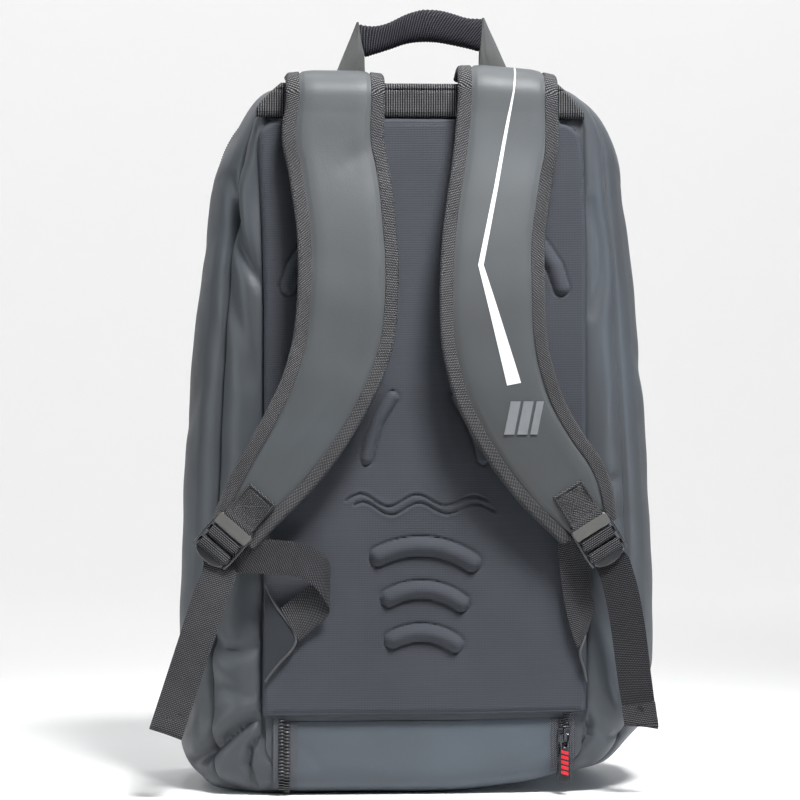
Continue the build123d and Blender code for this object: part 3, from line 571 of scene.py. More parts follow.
def surf(y, u):
    """The body's outer surface for x >= 0: y station, u in 0..5 from the base's middle to the top's middle."""
    y, u = np.broadcast_arrays(np.asarray(y, float), np.asarray(u, float))
    y = np.clip(y, -95, 106)
    z0, z1, wb, wt, rbx, rbz, rtz, bu = params(y)
    za, zb = z0 + rbz, z1 - rtz
    k = np.clip(np.floor(u), 0, 4)
    t = u - k
    a1, a3 = np.radians(90 * (t - 1)), np.radians(90 * t)
    x = np.select([k == 0, k == 1, k == 2, k == 3, k == 4], [
        t * (wb - rbx), wb - rbx + rbx * np.cos(a1), wb + (wt - wb) * t + 4 * bu * t * (1 - t), X_TOP + (wt - X_TOP) * np.cos(a3), X_TOP * (1 - t)])
    z = np.select([k == 0, k == 1, k == 2, k == 3, k == 4], [
        z0, za + rbz * np.sin(a1), za + (zb - za) * t, zb + rtz * np.sin(a3), z1])
    return np.stack([x, y, z], -1)


def u_at_z(y, zz):
    z0, z1, wb, wt, rbx, rbz, rtz, bu = params(np.clip(y, -95, 106))
    return 2 + (zz - z0 - rbz) / (z1 - rtz - z0 - rbz)


def normals(y, u):
    e, d = 0.4, 0.012
    ya, yb = np.clip(y - e, -95, 106), np.clip(y + e, -95, 106)
    ua, ub = np.clip(u - d, 0, 5), np.clip(u + d, 0, 5)
    dy, du = surf(yb, u) - surf(ya, u), surf(y, ub) - surf(y, ua)
    return unit(np.cross(dy, du))


SEAM = -75.0
# Soft folds seen on the harness side of each gusset: (side, polyline in x and z, depth, width)
FOLDS = [
    (-1, [(-143, 452), (-139.5, 433), (-135, 407), (-127.7, 384.6), (-118, 369)], -5.2, 4.2),
    (-1, [(-133, 452), (-129, 430), (-124.5, 408), (-120, 394)], 2.4, 6.0),
    (-1, [(-141, 378), (-139, 360), (-135, 342), (-131, 322), (-127.7, 304)], -2.6, 6.5),
    (-1, [(-148, 400), (-146, 370), (-143, 330)], 1.6, 7.0),
    (-1, [(-158, 112), (-146, 104), (-134, 102), (-121, 108)], -4.2, 4.5),
    (-1, [(-156, 95), (-140, 88), (-124, 90)], 2.6, 8.0),
    (-1, [(-150, 78), (-140, 74), (-128, 68)], -1.8, 5.0),
    (-1, [(-116, 56), (-129, 49), (-141, 40), (-153, 29), (-166, 16)], -7.0, 3.9),
    (-1, [(-118, 66), (-133, 60), (-147, 49), (-160, 36)], 4.4, 6.5),
    (-1, [(-119, 50), (-122, 40), (-128.5, 30), (-130, 18), (-125, 3)], -6.0, 2.6),
    (-1, [(-142, 24), (-148, 8)], 4.0, 9.0),
    (-1, [(-162, 70), (-158, 40), (-160, 14)], -2.4, 5.0),
    (-1, [(-158, 330), (-162, 260), (-165, 190)], 1.2, 9.0),
    (1, [(124, 432), (128.3, 405), (129.1, 381), (124, 352)], -3.6, 5.0),
    (1, [(137, 420), (140, 390), (139, 360)], 1.8, 7.0),
    (1, [(131, 330), (133, 290), (131, 250)], 1.6, 8.0),
    (1, [(124, 236), (134, 224), (144, 228)], -2.8, 5.0),
    (1, [(124, 206), (136, 196), (148, 201)], -1.6, 6.0),
    (1, [(124, 150), (136, 120), (150, 90)], -2.2, 8.0),
    (1, [(120.4, 52), (123.0, 38), (122.4, 28), (117, 18), (110, 10)], -6.5, 2.6),
    (1, [(132, 74), (146, 52), (158, 36)], 3.2, 8.0),
    (1, [(128, 58), (138, 44), (150, 26)], -2.6, 6.0),
    (1, [(128, 36), (140, 24), (152, 22)], -2.6, 5.0),
]
# Folds on the flanks, in y and z.
FLANK = [
    (-1, [(-70, 96), (-40, 88), (-5, 98)], -2.2, 6.0),
    (-1, [(-60, 74), (-30, 62), (0, 66)], 1.6, 8.0),
    (-1, [(-66, 60), (-38, 40), (-14, 36)], -2.4, 6.0),
    (-1, [(30, 120), (8, 100), (-10, 60)], -1.6, 8.0),
    (-1, [(-60, 300), (-30, 270), (10, 262)], -1.3, 10.0),
    (-1, [(40, 420), (10, 396), (-24, 402)], -1.6, 9.0),
    (1, [(-64, 90), (-36, 76), (-6, 82)], -2.2, 7.0),
    (1, [(34, 140), (10, 112), (-14, 64)], -1.8, 8.0),
    (1, [(-60, 330), (-24, 306), (18, 312)], -1.3, 10.0),
    (1, [(38, 440), (6, 424), (-30, 436)], -1.5, 9.0),
]


def wobble(p, f, seed):
    """A cheap smooth noise from sines."""
    x, y, z = p[..., 0] * f, p[..., 1] * f, p[..., 2] * f
    return (np.sin(x * 1.7 + seed) * np.cos(y * 1.3 + 2 * seed + 1.1) + np.sin(z * 1.9 + 3 * seed) * np.cos(x * 0.8 - y * 1.1 + seed)
            + np.sin((x + y) * 1.1 + z * 0.7 + seed * 5)) / 3


def shape(y, u, side):
    """The shell's visible surface: seams sunk, panels puffed, folds where the cloth is slack."""
    p = surf(y, u)
    n = normals(y, u)
    yy, zz = p[..., 1], p[..., 2]
    xs = p[..., 0] * side
    h = np.zeros(yy.shape)
    flank = smooth(u, 1.2, 1.9) * (1 - smooth(u, 3.7, 4.3))
    up = smooth(u, 1.0, 1.6)
    # seam between the rear gusset and the side panel
    ds = yy - SEAM
    h += up * (-2.4 * np.exp(-(np.abs(ds) / 0.9) ** 1.2) + 0.5 * np.exp(-((ds - 6.0) / 5.0) ** 2))
    # rear gusset stands proud beside the pad
    g = np.clip((yy + 95) / (SEAM + 95), 0, 1)
    rear = (yy < SEAM) * up
    h += rear * (5.6 * np.sin(np.pi * np.clip(g, 0, 1) ** 0.62) ** 0.75 * (0.35 + 0.65 * smooth(zz, 8, 50)) * (1 - 0.35 * smooth(zz, 455, 500)) - 0.6)
    # side panel and flap gusset belly
    s1 = np.clip((yy - SEAM) / (45 - SEAM), 0, 1)
    h += up * (yy > SEAM) * (yy < 45) * 2.2 * np.sin(np.pi * s1) ** 0.8
    s2 = np.clip((yy - 45) / 61.0, 0, 1)
    h += (yy > 45) * (1.5 * np.sin(np.pi * s2) * smooth(s2, 0.05, 0.3))
    # zip seams
    for yz in (36.0, 54.5):
        h += up * -0.9 * np.exp(-((yy - yz) / 1.2) ** 2)
    for sd, line, depth, width in FOLDS:
        if sd != side:
            continue
        d, al, s_, run = seg_dist(xs, zz, line)
        taper = np.sin(np.pi * np.clip((al + 8) / (run + 16), 0, 1)) ** 0.6
        h += depth * np.exp(-(d / width) ** 2) * taper * (1 - smooth(yy, -60, -28)) * smooth(yy, -96.0, -94.0)
    for sd, line, depth, width in FLANK:
        if sd != side:
            continue
        d, al, s_, run = seg_dist(yy, zz, line)
        taper = np.sin(np.pi * np.clip((al + 10) / (run + 20), 0, 1)) ** 0.6
        away = smooth(yy, SEAM + 1, SEAM + 12) * (1 - smooth(yy, 26, 35))
        h += depth * np.exp(-(d / width) ** 2) * taper * away * flank
    quiet = smooth(yy, -95, -90) * (1 - smooth(yy, 30, 42) * (1 - smooth(yy, 47, 60))) * smooth(u, 1.0, 1.5)
    h += quiet * ((1.3 if side < 0 else 0.8) * wobble(p * [side, 1, 1], 0.032, 1.3 if side > 0 else 4.1) + 0.6 * wobble(p * [side, 1, 1], 0.075, 2.7))
    q = p + n * h[..., None]
    # slumped corners: the harness-side foot on the right lifts and tucks in, the left shoulder sinks
    if side > 0:
        k = (1 - smooth(q[..., 2], 0, 70)) * (1 - 0.45 * smooth(yy, -20, 100))
        q[..., 0] -= 9.0 * k * smooth(q[..., 0], 120, 172)
    else:
        k = smooth(q[..., 2], 440, 492) * smooth(q[..., 0], 112, 145) * (1 - smooth(yy, 0, 44))
        q[..., 0] -= 6.5 * k
        q[..., 2] -= 3.0 * k
        k = (1 - smooth(q[..., 2], 0, 40)) * smooth(q[..., 0], 118, 150) * (1 - smooth(yy, -30, 30)) * smooth(yy, -94, -84)
        q[..., 0] += 3.0 * k
    q[..., 0] *= side
    return q


def inner(p, n, t):
    return p - n * t


def shell_piece(name, y0, y1, ua, ub, side, ny, nu, body, replaces, wall=3.0, zlo=None, mats=("shell", "lining"), power=1.0):
    ys = y0 + (y1 - y0) * np.linspace(0, 1, ny) ** power
    U = np.zeros((ny, nu))
    for i, y in enumerate(ys):
        lo = float(u_at_z(y, zlo)) if zlo is not None else ua
        hi = ub if not isinstance(ub, str) else float(u_at_z(y, float(ub)))
        U[i] = np.linspace(lo, hi, nu)
    Y = np.repeat(ys[:, None], nu, 1)
    p = shape(Y, U, side)
    if y0 < -94:
        cx, cz = 0.0, np.clip(p[:1, :, 2], 60, 470)
        inw = np.stack([cx - p[:1, :, 0], 0 * cz, np.clip(cz - p[:1, :, 2], -70, 70)], -1)
        inw = unit(inw)
        lip = [p[:1] + inw * a + np.array([0, b_, 0]) for a, b_ in ((15.0, 0.2), (11.0, -1.0), (7.0, -0.8), (3.5, 0.3), (1.2, 0.8))]
        p = np.concatenate(lip + [p])
    gy, gu = np.gradient(p, axis=0), np.gradient(p, axis=1)
    n = unit(np.cross(gy, gu)) * side
    b = p - n * wall
    ob = closed(name, p, b, [M[mats[0]], M[mats[1]]], flip=(side < 0))
    fix_normals(ob)
    return finish_piece(ob, body, replaces)


X_BASE_U = 104.0
for side, word in ((-1, "left"), (1, "right")):
    ub = 0.86
    shell_piece(f"gusset_rear_{word}", -95.0, SEAM, ub, 4.0, side, 34, 460, "bag", [f"rear_gusset_{word}"], power=1.5)
    shell_piece(f"panel_side_{word}", SEAM, 44.8, ub, 4.0, side, 70, 330, "bag", [f"side_panel_{word}"])
    shell_piece(f"flap_side_{word}", 45.2, 106.0, 0, 4.0, side, 40, 150, "main_flap", [f"flap_gusset_{word}"], zlo=115.0)
    shell_piece(f"lower_corner_{word}", 45.0, 106.0, 0.86, "114.6", side, 40, 50, "bag", ["lower_front_panel"])


def full_grid(y0, y1, ua, ub, ny, nu, power=1.0):
    """Both halves joined over the middle: rows over y, columns from -x to +x."""
    ys = y0 + (y1 - y0) * np.linspace(0, 1, ny) ** power
    us = np.linspace(ua, ub, nu)
    Y, U = np.meshgrid(ys, us, indexing="ij")
    r, l = shape(Y, U, 1), shape(Y, U, -1)
    if ua > ub:
        r, l = r[:, ::-1], l[:, ::-1]
    # columns: r runs towards the middle
    return np.concatenate([l, r[:, ::-1][:, 1:]], 1)


def full_piece(name, y0, y1, ua, ub, ny, nu, body, replaces, wall=3.0, lift=None, power=1.0):
    g = full_grid(y0, y1, ua, ub, ny, nu, power)
    if lift is not None:
        g = lift(g)
    gy, gu = np.gradient(g, axis=0), np.gradient(g, axis=1)
    n = unit(np.cross(gy, gu))
    outward = n[g.shape[0] // 2, g.shape[1] // 2, 2] * (1 if g[..., 2].mean() > 200 else -1)
    if outward < 0:
        n = -n
    ob = closed(name, g, g - n * wall, [M["shell"], M["lining"]])
    fix_normals(ob)
    return finish_piece(ob, body, replaces)


full_piece("panel_top", -94.9, 44.8, 4.0, 5.0, 60, 36, "bag", ["top_panel"])
full_piece("flap_top", 45.2, 106.0, 4.0, 5.0, 40, 36, "main_flap", ["flap_gusset_top"])


gp = np.concatenate([shape(*np.meshgrid(np.linspace(-81, 106, 60), np.linspace(0.86, 0, 30), indexing="ij"), -1), shape(*np.meshgrid(np.linspace(-81, 106, 60), np.linspace(0, 0.86, 30), indexing="ij"), 1)[:, 1:]], 1)
gp[..., 2] = np.maximum(gp[..., 2], -DATUM)
bb = gp.copy()
bb[..., 2] += 3.0
ob = closed("panel_base", gp, bb, [M["shell"], M["lining"]])
fix_normals(ob)
finish_piece(ob, "bag", ["base_panel"])


# ---------------------------------------------------------------- front of the flap and the lower front
def front_face(name, z_lo, z_hi, body, replaces, nz, nx=90):
    """A flat-ish crowned panel inside the y = 106 outline."""
    us = np.linspace(0, 5, 600)
    o = surf(np.full(600, 106.0), us)
    zs = np.linspace(z_lo, z_hi, nz)
    if z_hi > 400:
        zs = z_lo + (z_hi - z_lo) * (1 - (1 - np.linspace(0, 1, nz)) ** 1.6)
    if z_lo < 40:
        zs = z_lo + (z_hi - z_lo) * np.linspace(0, 1, nz) ** 1.6
    hi, lo = o[us >= 2.0], o[us <= 3.0]
    hw_hi = np.interp(zs, hi[:, 2], hi[:, 0])
    hw_lo = np.interp(zs, np.maximum.accumulate(lo[:, 2]) + np.arange(len(lo)) * 1e-6, lo[:, 0])
    hw = np.where(zs < 100, hw_lo, hw_hi)
    s = np.linspace(-1, 1, nx)
    X = hw[:, None] * s[None]
    Z = np.repeat(zs[:, None], nx, 1)
    zmid0, zmid1 = 25.0, 450.0
    edge = np.minimum(hw[:, None] * (1 - np.abs(s)[None]), np.minimum(Z - zmid0, zmid1 - Z))
    crown = 1.2 * (1 - np.exp(-np.maximum(edge, 0) / 14.0))
    Y = 106.0 + crown + 0.35 * wobble(np.stack([X, 0 * X, Z], -1), 0.045, 3.3)
    Y -= 0.9 * np.exp(-(np.maximum(edge, 0) / 1.4) ** 2)
    # the outer skin drops behind the fold line so the flap can hinge
    Y = 105.2 + (Y - 105.2) * smooth(np.abs(Z - 115.0), 0.3, 7.0)
    p = np.stack([X, Y, Z], -1)
    b = p.copy()
    b[..., 1] = 103.0
    ob = closed(name, p, b, [M["shell"], M["lining"]])
    fix_normals(ob)
    return finish_piece(ob, body, replaces)


front_face("flap_front", 115.7, 449.9, "main_flap", ["flap_front_panel"], 110)
front_face("front_low", 25.1, 114.3, "bag", [], 44)


# ---------------------------------------------------------------- back pad
def pad_half(z, side):
    if side < 0:
        return np.interp(z, [54, 140, 360, 412, 463, 489], [120.0, 118.5, 118.5, 120.0, 122.5, 123.0])
    return np.interp(z, [54, 139, 412, 464, 489], [120.0, 120.4, 120.4, 118.5, 115.5])


def arc_line(x0, z0, x1, z1, rise, n=17):
    dx, dz = x1 - x0, z1 - z0
    t = np.linspace(0, 1, n)
    c = math.hypot(dx, dz)
    r = (c * c / 4 + rise * rise) / (2 * rise)
    q = (t - 0.5) * c
    h = np.sqrt(np.maximum(r * r - q * q, 0)) - (r - rise)
    return [(x0 + dx * a - dz / c * b, z0 + dz * a + dx / c * b) for a, b in zip(t, h)]


def back_pad():
    nx, nz = 210, 380
    zs = 54 + 441 * np.linspace(0, 1, nz)
    s = np.linspace(-1, 1, nx)
    s = np.sign(s) * (1 - (1 - np.abs(s)) ** 1.15)
    Z = np.repeat(zs[:, None], nx, 1)
    X = np.where(s[None] < 0, s[None] * pad_half(zs, -1)[:, None], s[None] * pad_half(zs, 1)[:, None])
    top_r, bot_r = 14.0, 3.2
    side = np.where(s[None] < 0, pad_half(zs, -1)[:, None] + X, pad_half(zs, 1)[:, None] - X)
    up, dn = 495 - Z, Z - 54
    # distance to the rounded outline
    def corner(a, b, r):
        return np.where((a < r) & (b < r), r - np.hypot(r - a, r - b), np.minimum(a, b))
    d = np.minimum(corner(side, up, top_r), corner(side, dn, bot_r))
    d = np.maximum(d, 0)
    R = 5.0
    roll = np.where(d < R, np.sqrt(np.maximum(R * R - (R - d) ** 2, 0)) / R, 1.0)
    y = -96.2 - 6.2 * roll
    # broad crown of the foam and a slack middle
    y -= 0.7 * smooth(side, 3, 40) * smooth(dn, 3, 40) * smooth(up, 3, 40)
    y += 0.35 * wobble(np.stack([X, 0 * X, Z], -1), 0.03, 2.2)
    # stitch lines under the top edge and a pressed lip at the bottom
    y += 0.9 * np.exp(-((up - 4.5) / 0.7) ** 2) * smooth(side, 4, 9)
    y += 1.0 * np.exp(-((dn - 3.6) / 0.9) ** 2) * smooth(side, 4, 9)
    y -= 0.8 * np.exp(-((dn - 1.4) / 1.5) ** 2) * smooth(side, 2, 5)

    def emboss(line, half, height, end=1.0):
        dist, al, sd, run = seg_dist(X, Z, line)
        q = dist / half
        bump = np.maximum(1 - q ** 2, 0) ** 0.95
        groove = np.exp(-((dist - half - 0.3) / 0.9) ** 2)
        return -(height + 0.4) * bump + 1.1 * groove

    for line, half, hh in (
        (arc_line(-34.1, 172.0, 34.4, 167.3, 9.5), 7.0, 5.2),
        (arc_line(-26.6, 141.3, 26.4, 137.4, 8.0), 6.5, 4.9),
        (arc_line(-23.7, 110.4, 22.0, 107.4, 6.8), 6.5, 4.8),
    ):
        y += emboss(line, half, hh)
    for k in (-1, 1):
        y += emboss([(k * 101, 370), (k * 96, 385), (k * 86, 400), (k * 72, 412)], 6.0, 3.2)
        y += emboss([(k * 43, 244), (k * 40.5, 256), (k * 34.5, 272), (k * 24, 289)], 4.4, 3.0)
    # a plain decorative double wave pressed into the foam
    t = np.linspace(0, 1, 90)
    for dz, amp, ph, x0, x1 in ((213, 5.0, 0.0, -58, 46), (207, 5.0, 0.6, -52, 52)):
        line = list(zip(x0 + (x1 - x0) * t, dz + amp * np.sin(t * 2 * np.pi * 2.5 + ph) * (1 - 0.35 * t)))
        dist, al, sd, run = seg_dist(X, Z, line)
        y += 1.5 * np.exp(-(dist / 0.85) ** 2) - 0.45 * np.exp(-((dist - 2.2) / 1.0) ** 2)
    # the lower pad is pushed about by the webbing wings
    for line, dep, w in (([(-112, 160), (-100, 120), (-112, 78)], 0.9, 9.0), ([(100, 150), (104, 120), (98, 86)], 0.7, 8.0)):
        dist, al, sd, run = seg_dist(X, Z, line)
        y += dep * np.exp(-(dist / w) ** 2)
    y = np.maximum(y, np.where((np.abs(X) < 50) & (Z < 190), -109.4, -106.8))
    p = np.stack([X, y, Z], -1)
    # pull the corners' outline in to a radius
    for zz0, r, sgn in ((492.0, top_r, 1), (54.0, bot_r, -1)):
        v = np.abs(zz0 - Z)
        m = v < r
        pull = np.where(m, r - np.sqrt(np.maximum(r * r - (r - v) ** 2, 0)), 0)
        hwl = np.where(s[None] < 0, pad_half(zs, -1)[:, None], pad_half(zs, 1)[:, None])
        p[..., 0] *= (hwl - pull) / hwl
    b = p.copy()
    b[..., 1] = -95.2
    uv = np.stack([X, Z], -1) / 1000
    ob = closed("pad_back", p, b, [M["pad"], M["pad"]], uv=uv, sharp=70)
    fix_normals(ob)
    return finish_piece(ob, "bag", ["back_pad", "lumbar_ridges", "shoulder_ridges"])


back_pad()


# ---------------------------------------------------------------- ribbed band over the pad
def top_band():
    nx, nz = 230, 40
    # the ends reach the gussets and their upper corners are cut back along the shoulders
    q = np.linspace(-1, 1, nx)
    zs = np.linspace(495.2, 520.4, nz)
    Q, Z = np.meshgrid(q, zs)
    v = 520.4 - Z
    hw = np.where(Q < 0, 124.5 - 18.5 * np.clip(1 - v / 20, 0, 1) ** 1.3, 118.5 - 19.0 * np.clip(1 - v / 22, 0, 1) ** 1.3)
    X = Q * hw
    d = np.minimum(np.minimum(Z - 495.2, v), hw - np.abs(X))
    y = -98.0 - 3.6 * np.sqrt(np.clip(d / 3.0, 0, 1))
    y += 1.0 * np.exp(-((v - 5.2) / 0.8) ** 2)
    y += 0.5 * np.exp(-((Z - 498.0) / 0.8) ** 2)
    y -= 0.25 * np.cos(X * 2 * np.pi / 2.05) * smooth(d, 0.5, 2.0)
    p = np.stack([X, y, Z], -1)
    b = p.copy()
    b[..., 1] = -95.3
    ob = closed("band_top", p, b, [M["band"]], uv=np.stack([X, Z], -1) / 1000, sharp=70)
    fix_normals(ob)
    return finish_piece(ob, "bag", ["top_band"])


top_band()


# ---------------------------------------------------------------- ribbons and tubes for straps, webbing and tapes
def band(name, centre, across, width, thick, mat, curve=0.0, step=1.2, nw=11, taper=None, wave=0.0):
    """A woven band along centre points with the given width directions. Widths and thicknesses in mm."""
    c = np.array(centre, float)
    w = unit(np.array(across, float))
    both, s = path(np.concatenate([c, w * 40], 1), step)
    c, w = both[:, :3], unit(both[:, 3:])
    t = unit(np.gradient(c, axis=0))
    w = unit(w - t * (w * t).sum(1, keepdims=True))
    n = np.cross(w, t)
    n[n[:, 1] > 0.2] *= 1
    a = np.linspace(-1, 1, nw)
    hw = np.full(len(c), width / 2.0) if taper is None else width / 2.0 * np.array([taper(q) for q in s / s[-1]])
    rings = []
    th = thick / 2
    for k in range(len(c)):
        off = curve * (1 - a ** 2) + wave * np.sin(s[k] * 0.16 + a * 1.1)
        top = [(q * (hw[k] - th), o + th) for q, o in zip(a, off)]
        bot = [(q * (hw[k] - th), o - th) for q, o in zip(a[::-1], off[::-1])]
        e1 = [(hw[k] - th + th * math.cos(x), off[-1] + th * math.sin(x)) for x in (math.pi / 4, 0, -math.pi / 4)]
        e2 = [(-hw[k] + th - th * math.cos(x), off[0] - th * math.sin(x)) for x in (math.pi / 4, 0, -math.pi / 4)]
        ring = np.array(top + e1 + bot + e2)
        rings.append(c[k] + ring[:, :1] * w[k] + ring[:, 1:] * n[k])
    rings = np.array(rings)
    m = rings.shape[1]
    per = np.r_[0, np.cumsum(np.linalg.norm(np.diff(rings[len(c) // 2], axis=0), axis=1))] / 1000
    uv = np.stack(np.broadcast_arrays(per[None, :], (s / 1000)[:, None]), -1)
    ob = tube(name, rings, [mat], uv=uv, sharp=55)
    return fix_normals(ob)


def folded_band(name, top, bottom, thick, mat, step=0.8, nw=13, puff=0.0):
    """A woven band between two given edges, for a fold or a twist."""
    T, B = np.array(top, float), np.array(bottom, float)
    mid = (T + B) / 2
    c = np.r_[0, np.cumsum(np.maximum(np.linalg.norm(np.diff(mid, axis=0), axis=1), 2.0))]
    n_ = int(c[-1] / step)
    s = np.linspace(0, c[-1], n_)
    e1, e2 = (np.stack([mono(c, A[:, k], s) for k in range(3)], 1) for A in (T, B))
    v = np.linspace(0, 1, nw)
    G = e1[:, None] + (e2 - e1)[:, None] * v[None, :, None]
    n = unit(np.cross(np.gradient(G, axis=0), np.gradient(G, axis=1)))
    for i in range(1, n_):
        m = (n[i] * n[i - 1]).sum(-1) < 0
        n[i][m] *= -1
    G = G + n * (puff * np.sin(np.pi * v))[None, :, None]
    L = np.r_[0, np.cumsum(np.linalg.norm(np.diff((e1 + e2) / 2, axis=0), axis=1))] / 1000
    uv = np.stack(np.broadcast_arrays(v[None] * 0.025, L[:, None]), -1)
    edge = thick / 2 * np.where((v == 0) | (v == 1), 0.45, 1.0)[None, :, None]
    return fix_normals(closed(name, G + n * edge, G - n * edge, [mat], uv=uv, sharp=55))


def rod(points, radius, seg=10, step=None):
    """A round bar through points, as (verts, faces)."""
    p = np.array(points, float)
    if step:
        p, _ = path(p, step)
    t = unit(np.gradient(p, axis=0))
    ref = np.array([0, 0, 1.0]) if abs(t[0, 2]) < 0.8 else np.array([1.0, 0, 0])
    n = unit(np.cross(t[0], ref))
    rings = []
    for k in range(len(p)):
        n = unit(n - t[k] * np.dot(n, t[k]))
        b = np.cross(t[k], n)
        a = np.linspace(0, 2 * np.pi, seg, endpoint=False)
        rings.append(p[k] + radius * (np.cos(a)[:, None] * n + np.sin(a)[:, None] * b))
    v = np.concatenate(rings + [[p[0]], [p[-1]]])
    f = [tuple(x) for x in grid_faces(len(p), seg, 0, close=True)]
    k0, k1 = len(v) - 2, len(v) - 1
    for j in range(seg):
        f.append((k0, (j + 1) % seg, j))
        f.append((k1, (len(p) - 1) * seg + j, (len(p) - 1) * seg + (j + 1) % seg))
    return v, f


# ---------------------------------------------------------------- shoulder straps
LEFT_OUT = [(-102.4, 500), (-105.3, 490), (-105.6, 475), (-101.9, 457), (-98.3, 433), (-95.1, 406.9), (-94.4, 385.1), (-95.1, 359.7), (-97.7, 334.2), (-104.6, 307.3), (-117.6, 278.3), (-132.1, 252.2), (-146.3, 225.1), (-153.1, 208.7), (-156.0, 202.0)]
LEFT_IN = [(-30.6, 500), (-31.6, 490), (-31.3, 475), (-28.3, 457.4), (-25.2, 433.4), (-23.3, 407.2), (-21.8, 385.3), (-22.3, 359.8), (-24.5, 332.9), (-31.8, 307.4), (-44.2, 280.5), (-60.9, 252.1), (-80.6, 225.9), (-106.7, 199.1), (-126.0, 178.8)]
RIGHT_IN = [(23.5, 500), (22.0, 488), (20.8, 475.9), (18.6, 457.6), (15.7, 439.4), (12.1, 415.3), (9.5, 387.6), (8.4, 350.4), (9.6, 326.4), (13.5, 308.1), (18.6, 289.9), (31.1, 263.7), (49.4, 235.2), (71.4, 208.1), (99.0, 182.0)]
RIGHT_OUT = [(96.6, 500), (96.9, 492), (96.8, 482), (96.4, 470.5), (92.7, 452.2), (89.1, 431.0), (84.7, 396.6), (84.9, 350.6), (87.6, 323.5), (92.7, 304.5), (97.9, 289.9), (111.9, 265.1), (129.6, 239.4), (137.5, 215.3), (139.0, 200.5)]
BACK_Z = [500, 470, 430, 390, 350, 310, 270, 235, 205, 150]
BACK_YS = [-109.2, -112.0, -119.0, -125.0, -128.5, -128.5, -125.0, -120.0, -116.0, -111.5]


def even(points, n):
    p = np.array(points, float)
    c = np.r_[0, np.cumsum(np.linalg.norm(np.diff(p, axis=0), axis=1))]
    f = np.stack([mono(c, p[:, k], np.linspace(0, c[-1], 900)) for k in (0, 1)], 1)
    c2 = np.r_[0, np.cumsum(np.linalg.norm(np.diff(f, axis=0), axis=1))]
    s = np.linspace(0, c2[-1], n)
    q = np.stack([np.interp(s, c2, f[:, k]) for k in (0, 1)], 1)
    k = np.ones(9) / 9
    pad = np.concatenate([np.repeat(q[:1], 4, 0) + (q[0] - q[1]) * np.arange(4, 0, -1)[:, None], q, np.repeat(q[-1:], 4, 0) + (q[-1] - q[-2]) * np.arange(1, 5)[:, None]])
    return np.stack([np.convolve(pad[:, i], k, "valid") for i in (0, 1)], 1)


def strap_frame(left, right, n=240):
    l, r = even(left, n), even(right, n)
    zm = (l[:, 1] + r[:, 1]) / 2
    ym = mono(-np.array(BACK_Z, float), BACK_YS, -zm)
    L = np.stack([l[:, 0], ym, l[:, 1]], 1)
    R = np.stack([r[:, 0], ym, r[:, 1]], 1)
    top = []
    py, pz, ra = -96.0, 506.0, 13.2
    for y in np.linspace(-78, -95.2, 10):
        top.append((y, pz + ra + 0.35 * (y + 96) / 16 * 4))
    for a in np.radians(np.linspace(90, 174, 26)):
        top.append((py + ra * math.cos(a), pz + ra * math.sin(a)))
    top = np.array(top)
    LT = np.stack([np.full(len(top), l[0, 0]), top[:, 0], top[:, 1]], 1)
    RT = np.stack([np.full(len(top), r[0, 0]), top[:, 0], top[:, 1]], 1)
    L, R = np.concatenate([LT, L]), np.concatenate([RT, R])
    if left[0][0] > 0:                               # the right root sits higher on its inner side
        L[:, 2] += 6.5 * smooth(L[:, 2], 480, 519) * (1 - smooth(L[:, 1], -92, -80))
    k = np.ones(7) / 7
    for A in (L, R):
        for i in range(3):
            q = np.convolve(np.pad(A[:, i], 3, "edge"), k, "valid")
            A[4:-4, i] = q[4:-4]
    mid = (L + R) / 2
    t = unit(np.gradient(mid, axis=0))
    w = unit(R - L)
    nn = unit(np.cross(w, t))
    want = np.where(np.arange(len(mid)) < len(top), 1, 0)
    if nn[-1, 1] > 0:
        nn = -nn
    return L, R, nn, t


def thickness(d):
    """Half thickness of the padded strap at distance d from its edge."""
    return 3.0 + 2.35 * smooth(d, 1.5, 21)


